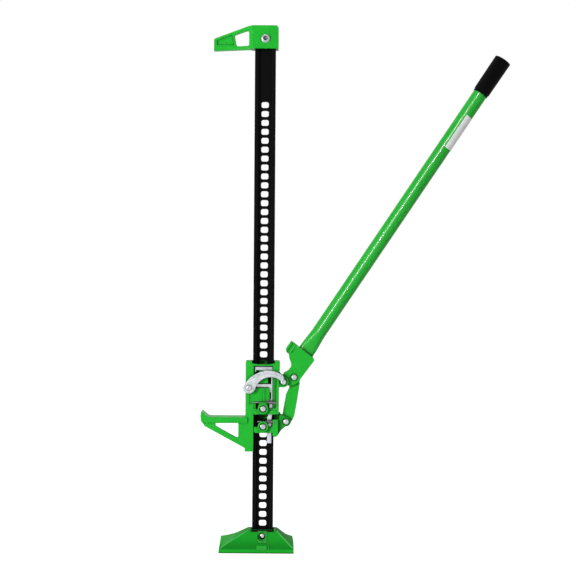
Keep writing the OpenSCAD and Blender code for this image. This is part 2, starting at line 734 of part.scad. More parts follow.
// The reversing latch: a disc, an arm between two arcs and a rounded tip
module reversing_latch() {
    color(zinc) difference() {
        slab(-latch_front, -latch_back) {
            translate([latch_x, latch_z]) circle(latch_disc_r);
            translate([latch_tip_x, upper_pin_z + latch_tip_up]) circle(latch_tip_r);
            intersection() {
                difference() {
                    translate([arc_outer_x, upper_pin_z + arc_outer_up]) circle(arc_outer_r, $fn = 96);
                    translate([arc_inner_x, upper_pin_z + arc_inner_up]) circle(arc_inner_r, $fn = 96);
                }
                polygon([
                    [latch_x - latch_disc_r * 0.6, latch_z + latch_disc_r * 0.75],
                    [latch_x + latch_disc_r * 0.9, latch_z - latch_disc_r * 0.4],
                    [arc_inner_x, latch_z],
                    [latch_tip_x - latch_tip_r * 0.9, upper_pin_z + latch_tip_up - latch_tip_r * 0.5],
                    [latch_tip_x + latch_tip_r * 0.95, upper_pin_z + latch_tip_up + latch_tip_r * 0.3],
                    [latch_tip_x + latch_tip_r * 0.5, top_bridge_top + upper_pin_z],
                    [latch_x - latch_disc_r * 0.6, top_bridge_top + upper_pin_z]
                ]);
            }
        }
        rod_y(latch_x, latch_z, -latch_front - overrun, overrun - latch_back, latch_hole_r + fit_gap);
    }
}

// The shifter bar: a flat plate with a window at the top and a long leg down to the foot
module shifter_bar() {
    color(zinc) slab(-plate_front, -plate_back - fit_gap * 4)
        polygon([for (s = shifter_shares) [s[0] * half_w, upper_pin_z + s[1] * runner_top]]);
}

// Ear of the small runner, drawn on one side
module small_ear_outline() {
    translate([ear_x, bottom_z]) circle(hub_r * 0.9);
    polygon([
        [run_x, lower_pin_z - boss_r * 1.9],
        [run_x + collar_side * 0.3, lower_pin_z - boss_r * 2.05],
        [right_x - cheek_t * 0.6, lower_pin_z - boss_r * 2],
        [right_x + cheek_t * 0.7, lower_pin_z - boss_r * 0.85],
        [ear_x - hub_r * 0.1, bottom_z - hub_r * 0.89],
        [ear_x + hub_r * 0.6, bottom_z - hub_r * 0.45],
        [ear_x, bottom_z + hub_r * 0.9],
        [ear_x - hub_r * 0.6, lower_pin_z + boss_r * 2.08],
        [right_x + side_gap, lower_pin_z + boss_r * 2.08],
        [right_x + side_gap, lower_pin_z + boss_r * 1.28],
        [run_x, lower_pin_z + boss_r * 1.28]
    ]);
}

module small_runner() {
    left = lip_x - side_gap;
    wall_x = right_x - cheek_t * 0.25;
    low = lower_pin_z - boss_r * 1.25;
    high = lower_pin_z + boss_r * 1.28;
    back_top = upper_pin_z - boss_r;
    shelf = boss_r * 0.12;
    corner = boss_r * 0.45;
    color(green) difference() {
        union() {
            slab(-runner_front, -bridge_back) {
                translate([corner - left, low]) square([left + wall_x - corner, boss_r * 1.25 - shelf]);
                translate([-left, low + corner]) square([left + wall_x, boss_r * 1.25 - shelf - corner]);
                translate([corner - left, low + corner]) circle(corner);
            }
            block([lip_x, -runner_front, low], [wall_x, runner_back, high]);
            slab(-runner_front, -run_y - fit_gap) polygon([
                [lip_x, low + corner],
                [lip_x, lower_pin_z - boss_r * 1.75],
                [lip_x + corner * 0.7, lower_pin_z - boss_r * 2.05],
                [wall_x - corner, lower_pin_z - boss_r * 2],
                [wall_x, lower_pin_z - boss_r * 1.7],
                [wall_x, low + corner]
            ]);
            // Raised back wall and corner behind the rack
            block([-left, run_y, low], [wall_x, runner_back, back_top]);
            block([lip_x, slide_gap, low], [wall_x, runner_back, back_top]);
            block([wall_x - cheek_t, cheek_in, low], [right_x + cheek_t / 2, runner_back, back_top]);
            pin_boss(lower_pin_z, 0);
            slab(-cheek_out, -cheek_in) small_ear_outline();
            slab(cheek_in, cheek_out) small_ear_outline();
            intersection() {
                slab(-cheek_in - fit_gap, cheek_in + fit_gap) small_ear_outline();
                block([0, -runner_front, 0], [wall_x, runner_back, high]);
            }
        }
        block([half_w - rack_flange, -run_y, low - boss_r], [run_x, run_y, back_top + overrun]);
        rod_y(ear_x, bottom_z, -cheek_out - overrun, cheek_out + overrun, pivot_d / 2 + fit_gap);
        rod_y(ear_x, bottom_z, -cheek_out - overrun, head_seat - cheek_out, seat_r);
        pin_bore(lower_pin_z);
        rod_x(-boss_r * 1.2, wall_x - cheek_t * 0.5, coil_y, lower_cross_z, cross_d / 2 + fit_gap);
        rod_x(coil_start - wire_d, lip_x, coil_y, lower_cross_z, coil_r + wire_d);
    }
}

module lower_cross_pin() {
    color(steel) rod_x(-boss_r * 1.1, right_x - cheek_t * 0.75, coil_y, lower_cross_z, cross_d / 2);
}

module pitman_bottom_pin() {
    color(zinc) round_bolt(ear_x, bottom_z, head_seat - cheek_out, cheek_out + nut_h * 1.3,
        pivot_d / 2, head_r, head_h);
}

module pitman_bottom_nut() {
    color(zinc) hex_nut(ear_x, bottom_z, cheek_out, cheek_out + nut_h, nut_r, pivot_d / 2 + fit_gap);
}

// A climbing pin drawn back just clear of the rack's web, with a coned nose
module climbing_pin(z) {
    tip = -half_web - pin_clear;
    nose_cone = pin_d * 0.2;
    color(zinc) translate([0, tip, z]) rotate([90, 0, 0]) {
        cylinder(h = nose_cone, r1 = pin_d / 2 - nose_cone, r2 = pin_d / 2);
        translate([0, 0, nose_cone - fit_gap]) cylinder(h = pin_len - nose_cone * 1.5, r = pin_d / 2);
        translate([0, 0, pin_len - nose_cone / 2 - 2 * fit_gap])
            cylinder(h = nose_cone / 2, r1 = pin_d / 2, r2 = pin_d / 2 - nose_cone / 2);
    }
}

module upper_climbing_pin() {
    climbing_pin(upper_pin_z);
}

module lower_climbing_pin() {
    climbing_pin(lower_pin_z);
}

// Outline points of the socket and its lug, in the handle's frame
module socket_outline(shares) {
    polygon([for (s = shares) [s[0] * crank, s[1] * crank]]);
}

// A stadium across the handle, flat faces to front and back
module stadium(w, t) {
    square([w - t, t], center = true);
    for (s = [-1, 1]) translate([s * (w - t) / 2, 0]) circle(t / 2);
}

// Places a section drawn across the handle at distance u from the pivot, its X to the upper left side
module along_handle(u) {
    handle_space() translate([u, 0, tube_w]) rotate([0, 90, 0]) rotate(180) children();
}

module handle_socket() {
    a = [crank * cos(handle_angle - crank_angle), -crank * sin(handle_angle - crank_angle)];
    color(green) difference() {
        union() {
            slab(-cheek_out, cheek_out) handle_frame() {
                circle(hub_r);
                translate(a) circle(lobe_r);
            }
            // The body widens towards its mouth
            intersection() {
                slab(-lug_out, lug_out) handle_frame() socket_outline(socket_shares);
                handle_space() translate([0, 0, -crank * 2]) linear_extrude(crank * 4)
                    polygon([
                        [-crank, -body_out], [crank * 1.5, -body_out], [crank * 2.1, -lug_out],
                        [crank * 4, -lug_out], [crank * 4, lug_out], [crank * 2.1, lug_out],
                        [crank * 1.5, body_out], [-crank, body_out]
                    ]);
            }
            // The lug narrows upwards to a raised rim
            intersection() {
                slab(-lug_out, lug_out) handle_frame() socket_outline(lug_shares);
                handle_space() translate([crank * 6, 0, 0]) rotate([0, -90, 0]) linear_extrude(crank * 8)
                    polygon(concat(
                        [for (s = lug_width_shares) [s[0] * crank, -s[1] * lug_out]],
                        [for (i = [len(lug_width_shares) - 1 : -1 : 0])
                            [lug_width_shares[i][0] * crank, lug_width_shares[i][1] * lug_out]]
                    ));
            }
        }
        // Room between the cheeks for the pitman
        slab(-cheek_in, cheek_in) handle_frame() {
            translate(a) circle(lobe_r + side_gap);
            translate([-lobe_r * 1.6, -lobe_r * 4]) square([a[0] + lobe_r * 1.6, lobe_r * 8]);
            translate([0, -lobe_r * 4]) square([a[0] + lobe_r * 0.95, lobe_r * 3.9 + a[1] + lobe_r * 0.4]);
        }
        // Fork of the lug, the tube's seat and the pivots
        slab(-lug_in, lug_in) handle_frame()
            translate([slot_u, crank * 0.72]) square([mouth_u, crank]);
        along_handle(slot_u) linear_extrude(mouth_u)
            stadium(flat_w + slide_gap, flat_t + slide_gap);
        rod_y(pivot_x, pivot_z, -ear_out, ear_out, pivot_d / 2 + fit_gap);
        rod_y(top_x, top_z, -ear_out, ear_out, pivot_d / 2 + fit_gap);
        rod_y(top_x, top_z, -ear_out, head_seat - cheek_out, seat_r);
        handle_space() translate([handle_bolt_u, 0, tube_w])
            cylinder(h = crank * 2, r = handle_bolt_d / 2 + fit_gap);
    }
}

module handle_bolt() {
    seat = crank * 0.72;
    color(zinc) handle_space() {
        translate([handle_bolt_u, 0, seat])
            cylinder(h = handle_bolt_d * 0.6, r = handle_bolt_d * 0.85, $fn = 6);
        translate([handle_bolt_u, 0, tube_w + flat_w * 0.3])
            cylinder(h = seat - tube_w - flat_w * 0.3 + fit_gap, r = handle_bolt_d / 2);
    }
}

// Ring of the flared stretch at share t from the flattened end to the round tube, shrunk by a wall
function flare_ring(t, wall, count) =
    let (
        s = t * t * (3 - 2 * t),
        w = flat_w + (tube_d - flat_w) * s - 2 * wall,
        d = flat_t + (tube_d - flat_t) * s - 2 * wall
    )
    [for (j = [0 : count - 1])
        let (a = 360 * j / count, q = (w - d) / 2)
        [d / 2 * cos(a) + (cos(a) >= 0 ? q : -q) * min(1, abs(cos(a)) * 6), d / 2 * sin(a)]];

// The flared stretch of the tube, as a solid grown or shrunk by a wall
module flare(wall, extend) {
    count = 32;
    rings = [for (i = [0 : flare_steps])
        let (
            up = (round_u - flare_u) * i / flare_steps,
            over = i == 0 ? -extend : (i == flare_steps ? extend : 0)
        )
        [for (p = flare_ring(i / flare_steps, wall, count)) [p[0], p[1], up + over]]];
    polyhedron(
        [for (r = rings) for (p = r) p],
        concat(
            [[for (j = [0 : count - 1]) j]],
            [[for (j = [count - 1 : -1 : 0]) flare_steps * count + j]],
            [for (i = [0 : flare_steps - 1], j = [0 : count - 1])
                [i * count + j, (i + 1) * count + (j + 1) % count, i * count + (j + 1) % count]],
            [for (i = [0 : flare_steps - 1], j = [0 : count - 1])
                [i * count + j, (i + 1) * count + j, (i + 1) * count + (j + 1) % count]]
        )
    );
}

module handle_tube() {
    bore = tube_d - 2 * tube_wall;
    color(green) difference() {
        union() {
            along_handle(slot_u + slide_gap) linear_extrude(flare_u - slot_u - slide_gap)
                stadium(flat_w, flat_t);
            along_handle(flare_u) flare(2 * fit_gap, slide_gap);
            along_handle(round_u) cylinder(h = tube_end - round_u, r = tube_d / 2);
        }
        along_handle(slot_u) linear_extrude(flare_u - slot_u)
            stadium(flat_w - 2 * tube_wall, flat_t - 2 * tube_wall);
        along_handle(flare_u) flare(tube_wall + 2 * fit_gap, slide_gap);
        along_handle(round_u) cylinder(h = tube_end, r = bore / 2);
        handle_space() translate([handle_bolt_u, 0, tube_w])
            cylinder(h = crank * 2, r = handle_bolt_d / 2 + fit_gap);
    }
}

module handle_grip() {
    color(black) difference() {
        along_handle(handle_len - grip_len)
            cylinder(h = grip_len, r1 = grip_d_low / 2, r2 = grip_d_high / 2);
        along_handle(handle_len - grip_len - overrun)
            cylinder(h = grip_len - grip_end + overrun, r = tube_d / 2 + fit_gap);
    }
}

// The bare label: a thin sheet bent round the tube's front and lower side
module handle_label() {
    span = 95;
    color(white) along_handle(label_u) rotate(90)
        rotate_extrude(angle = span) translate([tube_d / 2 + fit_gap, 0]) square([label_t, label_len]);
}

module pitman_top_pin() {
    color(zinc) round_bolt(top_x, top_z, head_seat - cheek_out, cheek_out + nut_h * 1.3,
        pivot_d / 2, head_r, head_h);
}

module pitman_top_nut() {
    color(zinc) hex_nut(top_x, top_z, cheek_out, cheek_out + nut_h, nut_r, pivot_d / 2 + fit_gap);
}

// The pitman's outline: X to the left of the line of its pivots, Y down along it, as shares of its length
pitman_shares = [[-0.125, 0.02], [-0.15, 0.12], [-0.16, 0.5], [-0.16, 0.84], [-0.147, 0.9],
    [-0.12, 0.98], [-0.05, 1.1], [0.11, 1], [0.103, 0.95], [0.106, 0.4], [0.066, 0.27], [0.066, 0.16], [0.11, 0.05]];

module pitman() {
    play = pitman_len * 0.052;
    color(green) difference() {
        translate([top_x, 0, top_z]) rotate([0, pitman_lean, 0]) mirror([0, 0, 1])
            slab(-pitman_y, pitman_y) {
                circle(pitman_len * 0.125);
                translate([0, pitman_len]) circle(pitman_len * 0.112);
                polygon([for (s = pitman_shares) [-s[0] * pitman_len, s[1] * pitman_len]]);
            }
        rod_y(top_x, top_z, -cheek_in, cheek_in, pivot_d / 2 + fit_gap);
        // Slotted lower eye, in which the bottom pin has play
        slab(-cheek_in, cheek_in) for (k = [0, 0.33, 0.66, 1])
            translate([ear_x + play * k, bottom_z + play * 0.26 * k]) circle(pivot_d / 2 + side_gap * 1.5);
    }
}

rack();
base_plate();
base_bolt();
base_nut();
top_clamp();
clamp_bolt();
clamp_nut();
large_runner();
upper_cross_pin();
upper_pin_spring();
shear_bolt();
shear_nut();
latch_bolt();
latch_washer();
small_runner();
lower_cross_pin();
lower_pin_spring();
pitman_bottom_pin();
pitman_bottom_nut();
upper_climbing_pin();
lower_climbing_pin();
reversing_latch();
shifter_bar();
handle_socket();
handle_tube();
handle_grip();
handle_label();
handle_bolt();
pitman_top_pin();
pitman_top_nut();
pitman();
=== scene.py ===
import bpy
import bmesh
import math
from mathutils import Matrix, Vector
from mathutils.bvhtree import BVHTree


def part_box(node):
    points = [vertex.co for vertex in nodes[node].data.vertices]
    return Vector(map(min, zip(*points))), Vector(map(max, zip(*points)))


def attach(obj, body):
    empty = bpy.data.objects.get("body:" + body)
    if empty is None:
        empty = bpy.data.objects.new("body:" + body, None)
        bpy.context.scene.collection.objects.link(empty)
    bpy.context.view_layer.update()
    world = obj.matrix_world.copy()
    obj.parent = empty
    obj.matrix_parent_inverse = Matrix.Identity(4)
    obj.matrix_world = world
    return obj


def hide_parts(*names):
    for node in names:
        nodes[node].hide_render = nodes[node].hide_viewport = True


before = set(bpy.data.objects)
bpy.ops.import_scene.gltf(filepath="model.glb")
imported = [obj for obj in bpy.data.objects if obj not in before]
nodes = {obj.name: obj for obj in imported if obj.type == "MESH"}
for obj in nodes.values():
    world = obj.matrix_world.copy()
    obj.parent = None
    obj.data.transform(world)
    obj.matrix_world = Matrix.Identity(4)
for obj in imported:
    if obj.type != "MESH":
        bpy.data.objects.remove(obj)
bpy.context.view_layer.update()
print("frame loaded with", len(nodes), "nodes")

mm = 0.001


# Camera: far off, tipped down a little, near the middle of the rack
camera = {"x": 0.0549, "height": 0.6034, "distance": 3.2, "pitch": 0.8, "roll": 0.382, "lens": 86.74, "sensor": 36,
          "farClip": 50}
camData = bpy.data.cameras.new("camera")
camData.lens = camera["lens"]
camData.sensor_width = camera["sensor"]
camData.clip_end = camera["farClip"]
camObject = bpy.data.objects.new("camera", camData)
bpy.context.scene.collection.objects.link(camObject)
pitch = math.radians(camera["pitch"])
camObject.location = (camera["x"], -camera["distance"] * math.cos(pitch),
                      camera["height"] + camera["distance"] * math.sin(pitch))
camObject.rotation_euler = (math.radians(90) - pitch, math.radians(-camera["roll"]), 0)
bpy.context.scene.camera = camObject
bpy.context.scene.view_settings.view_transform = "Standard"
print("camera set")


# Shader helpers: groups, noise, ranges and sums
def newGroup(name, inputs, outputs):
    tree = bpy.data.node_groups.new(name, "ShaderNodeTree")
    for label, kind, value in inputs:
        socket = tree.interface.new_socket(label, in_out="INPUT", socket_type=kind)
        socket.default_value = value
    for label, kind in outputs:
        tree.interface.new_socket(label, in_out="OUTPUT", socket_type=kind)
    return tree, tree.nodes.new("NodeGroupInput").outputs, tree.nodes.new("NodeGroupOutput").inputs


def link(tree, start, end):
    tree.links.new(start, end)


def noise(tree, coord, scale, detail, rough):
    node = tree.nodes.new("ShaderNodeTexNoise")
    node.inputs["Scale"].default_value = scale
    node.inputs["Detail"].default_value = detail
    node.inputs["Roughness"].default_value = rough
    link(tree, coord, node.inputs["Vector"])
    return node.outputs["Fac"]


def spread(tree, value, low, high, outLow, outHigh):
    # takes a value between low and high to one between outLow and outHigh
    node = tree.nodes.new("ShaderNodeMapRange")
    link(tree, value, node.inputs["Value"])
    for label, number in (("From Min", low), ("From Max", high), ("To Min", outLow), ("To Max", outHigh)):
        node.inputs[label].default_value = number
    return node.outputs["Result"]


def calc(tree, operation, *values):
    node = tree.nodes.new("ShaderNodeMath")
    node.operation = operation
    for socket, value in zip(node.inputs, values):
        if isinstance(value, (int, float)):
            socket.default_value = value
        else:
            link(tree, value, socket)
    return node.outputs[0]


def times(tree, first, *others):
    for other in others:
        first = calc(tree, "MULTIPLY", first, other)
    return first


def oneLess(tree, value):
    return calc(tree, "SUBTRACT", 1.0, value)


def nearness(tree, distance, inside):
    # outside: how deep a point sits in a corner; inside: how near it is to an outer edge
    node = tree.nodes.new("ShaderNodeAmbientOcclusion")
    node.samples = 8
    node.inside = inside
    node.only_local = inside
    node.inputs["Distance"].default_value = distance
    return node.outputs["AO"]


def placeAndFacing(tree):
    # the parts along X, Y and Z of a point's place and of its normal
    coord = tree.nodes.new("ShaderNodeTexCoord")
    parts = []
    for label in ("Object", "Normal"):
        split = tree.nodes.new("ShaderNodeSeparateXYZ")
        link(tree, coord.outputs[label], split.inputs["Vector"])
        parts.append(split.outputs)
    return parts


def mixColors(tree, blend, factor, color, other):
    mix = tree.nodes.new("ShaderNodeMix")
    mix.data_type = "RGBA"
    mix.blend_type = blend
    if isinstance(factor, (int, float)):
        mix.inputs["Factor"].default_value = factor
    else:
        link(tree, factor, mix.inputs["Factor"])
    link(tree, color, mix.inputs["A"])
    link(tree, other, mix.inputs["B"])
    return mix.outputs["Result"]


def tinted(tree, color, value):
    # multiplies a colour by one number
    shade = tree.nodes.new("ShaderNodeCombineColor")
    for socket in shade.inputs[:3]:
        link(tree, value, socket)
    return mixColors(tree, "MULTIPLY", 1, color, shade.outputs["Color"])


# Paint on a casting: sand grain under the film, soft waves, painted shade in corners and a painted sheen on outer
# edges
castLook = {
    # noises as scale, detail and roughness; ranges as two values and what they become
    "grain": (620, 2.0, 0.55), "waves": (70, 2.0, 0.5), "cloud": (18, 3.0, 0.55), "grainShare": 0.35,
    # edgeReach and edge: the painted sheen on outer edges, standing in for light caught by rounded edges
    "cloudShare": 0.65, "mottle": (0.3, 0.7, 0.9, 1.06), "edgeReach": 0.0022, "edge": (0.45, 0.95, 1, 0),
    # cornerReach and corner: the painted shade that darkens corners and hollows
    "cornerReach": 0.009, "corner": (0.25, 0.92, 1, 0), "shineDrift": (0.3, 0.7, -0.06, 0.08),
    "grainHeight": 0.6, "waveHeight": 0.4,
}
castPaint, asked, given = newGroup(
    "castPaint",
    [("Color", "NodeSocketColor", (0.5, 0.5, 0.5, 1)), ("Edge Color", "NodeSocketColor", (0.6, 0.6, 0.6, 1)),
     ("Grain", "NodeSocketFloat", 0.5), ("Shine", "NodeSocketFloat", 0.35), ("Edge", "NodeSocketFloat", 0.5),
     ("Corner", "NodeSocketFloat", 0.5)],
    [("Color", "NodeSocketColor"), ("Roughness", "NodeSocketFloat"), ("Height", "NodeSocketFloat")],
)
coord = castPaint.nodes.new("ShaderNodeTexCoord").outputs["Object"]
grain, waves, cloud = (noise(castPaint, coord, *castLook[name]) for name in ("grain", "waves", "cloud"))
mottle = calc(castPaint, "ADD", times(castPaint, grain, castLook["grainShare"]),
              times(castPaint, cloud, castLook["cloudShare"]))
color = tinted(castPaint, asked["Color"], spread(castPaint, mottle, *castLook["mottle"]))
# painted sheen: near outer edges the colour is mixed towards the edge colour, as light caught by rounded edges
edge = spread(castPaint, nearness(castPaint, castLook["edgeReach"], True), *castLook["edge"])
color = mixColors(castPaint, "MIX", times(castPaint, edge, asked["Edge"]), color, asked["Edge Color"])
# painted shade: the colour is darkened in corners and hollows, where shade falls
corner = spread(castPaint, nearness(castPaint, castLook["cornerReach"], False), *castLook["corner"])
color = tinted(castPaint, color, oneLess(castPaint, times(castPaint, corner, asked["Corner"])))
shine = calc(castPaint, "ADD", asked["Shine"], spread(castPaint, cloud, *castLook["shineDrift"]))
height = calc(castPaint, "ADD", times(castPaint, grain, asked["Grain"], castLook["grainHeight"]),
              times(castPaint, waves, castLook["waveHeight"]))
for label, value in (("Color", color), ("Roughness", shine), ("Height", height)):
    link(castPaint, value, given[label])

# Bare and plated metal: fine scratches along one axis over a cloudy sheen, with painted shade darkening the corners
metalLook = {"scratches": (1400, 4.0, 0.6), "patches": (110, 4.0, 0.6), "patchTone": (0.3, 0.7, 0.8, 1.06),
             "cornerReach": 0.006, "corner": (0.25, 0.92, 1, 0), "shineDrift": (0.3, 0.7, -0.08, 0.1)}
platedMetal, asked, given = newGroup(
    "platedMetal",
    [("Color", "NodeSocketColor", (0.7, 0.7, 0.7, 1)), ("Shine", "NodeSocketFloat", 0.3),
     ("Stretch", "NodeSocketVector", (1, 1, 0.1)), ("Corner", "NodeSocketFloat", 0.5)],
    [("Color", "NodeSocketColor"), ("Roughness", "NodeSocketFloat"), ("Height", "NodeSocketFloat")],
)
coord = platedMetal.nodes.new("ShaderNodeTexCoord").outputs["Object"]
mapping = platedMetal.nodes.new("ShaderNodeMapping")
link(platedMetal, coord, mapping.inputs["Vector"])
link(platedMetal, asked["Stretch"], mapping.inputs["Scale"])
scratches = noise(platedMetal, mapping.outputs["Vector"], *metalLook["scratches"])
patches = noise(platedMetal, coord, *metalLook["patches"])
color = tinted(platedMetal, asked["Color"], spread(platedMetal, patches, *metalLook["patchTone"]))
# painted shade: the colour is darkened in corners, where shade falls
corner = spread(platedMetal, nearness(platedMetal, metalLook["cornerReach"], False), *metalLook["corner"])
color = tinted(platedMetal, color, oneLess(platedMetal, times(platedMetal, corner, asked["Corner"])))
shine = calc(platedMetal, "ADD", asked["Shine"], spread(platedMetal, patches, *metalLook["shineDrift"]))
for label, value in (("Color", color), ("Roughness", shine), ("Height", scratches)):
    link(platedMetal, value, given[label])

# Painted shade on the runners by depth: front planes set back from the foremost one are painted darker, as they lie
# in shade
depthLook = {"amount": 0.3, "facingFront": (-0.8, -0.95, 0, 1), "setBack": (-0.0232, -0.0185, 0, 1)}
depthShade, asked, given = newGroup("depthShade", [("Amount", "NodeSocketFloat", depthLook["amount"])],
                                    [("Painted Shade", "NodeSocketFloat")])
place, facing = placeAndFacing(depthShade)
setBack = times(depthShade, spread(depthShade, facing["Y"], *depthLook["facingFront"]),
                spread(depthShade, place["Y"], *depthLook["setBack"]))
link(depthShade, oneLess(depthShade, times(depthShade, setBack, asked["Amount"])), given["Painted Shade"])

# Painted shade on the foot by place and facing: darker low on the front slope and beside the collar, with a painted
# sheen at the ends
footLook = {
    # front and ends: strength of the painted shade on the front slope and beside the collar; the third value: share
    # of the painted sheen at the ends
    "front": 0.48, "ends": 0.85, "paintedSheen": 0.5, "sideways": (0.12, 0.3, 0, 1), "frontward": (-0.45, -0.6, 0, 1),
    "sloping": (0.2, 0.4, 0, 1), "bandFoot": (0.0065, 0.0115, 0, 1), "bandTop": (0.012, 0.034, 1, 0.25),
    "besideCollar": (0.036, 0.07, 1, 0), "leftShare": (-0.01, 0.01, 0.62, 1.0), "sheenAtEnds": (0.05, 0.08, 0, 1),
}
footShade, asked, given = newGroup(
    "footShade", [("Front", "NodeSocketFloat", footLook["front"]), ("Ends", "NodeSocketFloat", footLook["ends"])],
    [("Painted Shade", "NodeSocketFloat"), ("Painted Sheen", "NodeSocketFloat")])
place, facing = placeAndFacing(footShade)
sideways = spread(footShade, calc(footShade, "ABSOLUTE", facing["X"]), *footLook["sideways"])
frontward = spread(footShade, facing["Y"], *footLook["frontward"])
sloping = spread(footShade, facing["Z"], *footLook["sloping"])
lowBand = times(footShade, spread(footShade, place["Z"], *footLook["bandFoot"]),
                spread(footShade, place["Z"], *footLook["bandTop"]))
onFront = times(footShade, frontward, sloping, lowBand, oneLess(footShade, sideways))
reach = calc(footShade, "ABSOLUTE", place["X"])
onEnd = times(footShade, sideways, spread(footShade, reach, *footLook["besideCollar"]),
              spread(footShade, place["X"], *footLook["leftShare"]))
# painted shade: darker on the front slope and, more on the right, on the sides beside the collar
tone = times(footShade, oneLess(footShade, times(footShade, onFront, asked["Front"])),
             oneLess(footShade, times(footShade, onEnd, asked["Ends"])))
link(footShade, tone, given["Painted Shade"])
# painted sheen: faces turned sideways at the ends are mixed towards a paler green, as light caught on them
link(footShade, times(footShade, sideways, spread(footShade, reach, *footLook["sheenAtEnds"])), given["Painted Sheen"])


def newMaterial(name, group, settings, bump, own):
    mat = bpy.data.materials.new(name)
    mat.use_nodes = True
    tree = mat.node_tree
    shader = tree.nodes["Principled BSDF"]
    effect = tree.nodes.new("ShaderNodeGroup")
    effect.node_tree = group
    for key, value in settings.items():
        effect.inputs[key].default_value = value
    link(tree, effect.outputs["Color"], shader.inputs["Base Color"])
    link(tree, effect.outputs["Roughness"], shader.inputs["Roughness"])
    relief = tree.nodes.new("ShaderNodeBump")
    relief.inputs["Strength"].default_value, relief.inputs["Distance"].default_value = bump
    link(tree, effect.outputs["Height"], relief.inputs["Height"])
    link(tree, relief.outputs["Normal"], shader.inputs["Normal"])
    for key, value in own.items():
        shader.inputs[key].default_value = value
    return mat


def shadeBy(mat, group, sheenShare=0):
    # multiplies a material's colour by a group's painted shade, after mixing in a share of painted sheen where the
    # group gives one
    tree = mat.node_tree
    effect = tree.nodes.new("ShaderNodeGroup")
    effect.node_tree = group
    target = tree.nodes["Principled BSDF"].inputs["Base Color"]
    color = target.links[0].from_socket
    if sheenShare:
        paintedSheen = tree.nodes.new("ShaderNodeRGB")
        paintedSheen.outputs[0].default_value = paint["greenSheen"]
        color = mixColors(tree, "MIX", times(tree, effect.outputs["Painted Sheen"], sheenShare), color, paintedSheen.outputs[0])
    link(tree, tinted(tree, color, effect.outputs["Painted Shade"]), target)


paint = {
    "green": (0.016, 0.53, 0.034, 1), "greenEdgeSheen": (0.045, 0.36, 0.06, 1), "greenHighlight": (0.06, 0.66, 0.09, 1),
    # the first colour on the next line is the paler green of the painted sheen at the foot's ends
    "greenSheen": (0.10, 0.46, 0.12, 1), "greenDeep": (0.017, 0.49, 0.034, 1), "black": (0.0015, 0.0015, 0.0017, 1),
    "blackEdgeSheen": (0.012, 0.012, 0.013, 1), "rubber": (0.0012, 0.0012, 0.0014, 1), "film": (0.95, 0.97, 0.95, 1),
    "zinc": (0.54, 0.57, 0.60, 1), "turned": (0.50, 0.52, 0.545, 1), "steel": (0.3, 0.29, 0.31, 1),
    "grease": (0.1, 0.098, 0.11, 1),
}
# colour, colour of the painted edge sheen, grain, shine, share of painted edge sheen, share of painted corner shade,
# the bump's strength and depth, and the shader's own values
painted = {
    "greenCast": ("green", "greenEdgeSheen", 0.8, 0.42, 0.6, 0.92, (0.35, 0.0004), {"Specular IOR Level": 0.14}),
    # a lighter green: a painted highlight on the foot's corner ribs and on the lug's band
    "greenHighlight": ("greenHighlight", "green", 0.6, 0.4, 0.2, 0.5, (0.3, 0.0004), {"Specular IOR Level": 0.2}),
    "greenFoot": ("green", "greenEdgeSheen", 0.8, 0.5, 0.4, 0.92, (0.35, 0.0004), {"Specular IOR Level": 0.06}),
    "greenRunner": ("green", "greenEdgeSheen", 0.8, 0.42, 0.6, 0.92, (0.35, 0.0004), {"Specular IOR Level": 0.14}),
    "greenTube": ("greenDeep", "greenEdgeSheen", 0.1, 0.34, 0.0, 0.7, (0.05, 0.0002),
                  {"Coat Weight": 0.5, "Coat Roughness": 0.07, "Coat IOR": 1.22, "Specular IOR Level": 0.08}),
    "blackSteel": ("black", "blackEdgeSheen", 0.4, 0.42, 0.8, 0.5, (0.25, 0.0003), {"Specular IOR Level": 0.05}),
    "gripRubber": ("rubber", "blackEdgeSheen", 1.0, 0.5, 0.3, 0.3, (0.3, 0.0003), {"Specular IOR Level": 0.04}),
    "labelFilm": ("film", "film", 0.05, 0.34, 0.0, 0.2, (0.08, 0.0002), {"Coat Weight": 0.2, "Coat Roughness": 0.1}),
}
# colour, shine, stretch of the scratches, share of painted corner shade, and the bump's strength and depth
metals = {
    "zincPlate": ("zinc", 0.34, (1, 1, 0.15), 0.75, (0.12, 0.0002)),
    "zincRound": ("turned", 0.28, (1, 0.15, 1), 0.75, (0.1, 0.0002)),
    "springSteel": ("steel", 0.33, (1, 1, 1), 0.7, (0.1, 0.0002)),
    "greasedSteel": ("grease", 0.3, (1, 1, 1), 0.6, (0.2, 0.0003)),
}
mats = {}
for name, (color, edge, grain, shine, edgeSheen, corner, bump, own) in painted.items():
    settings = {"Color": paint[color], "Edge Color": paint[edge], "Grain": grain, "Shine": shine, "Edge": edgeSheen,
                "Corner": corner}
    mats[name] = newMaterial(name, castPaint, settings, bump, own)
for name, (color, shine, stretch, corner, bump) in metals.items():
    settings = {"Color": paint[color], "Shine": shine, "Stretch": stretch, "Corner": corner}
    mats[name] = newMaterial(name, platedMetal, settings, bump, {"Metallic": 1.0})
shadeBy(mats["greenFoot"], footShade, footLook["paintedSheen"])
# the runners' paint is darkened by the painted shade of set-back planes
shadeBy(mats["greenRunner"], depthShade)
print("materials made")


# Mesh helpers: finish a mesh as a piece, copy a node's solid, soften its edges, turn a profile
def newPiece(name, mesh, mat, body, slot, *replaced, smooth=34):
    data = bpy.data.meshes.new(name)
    mesh.to_mesh(data)
    mesh.free()
    for face in data.polygons:
        face.use_smooth = True
    data.set_sharp_from_angle(angle=math.radians(smooth))
    data.materials.append(mats[mat])
    piece = bpy.data.objects.new(name, data)
    bpy.context.scene.collection.objects.link(piece)
    weights = piece.modifiers.new("weightedNormal", "WEIGHTED_NORMAL")
    weights.keep_sharp = True
    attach(piece, body)
    if replaced:
        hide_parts(*replaced)
    return piece


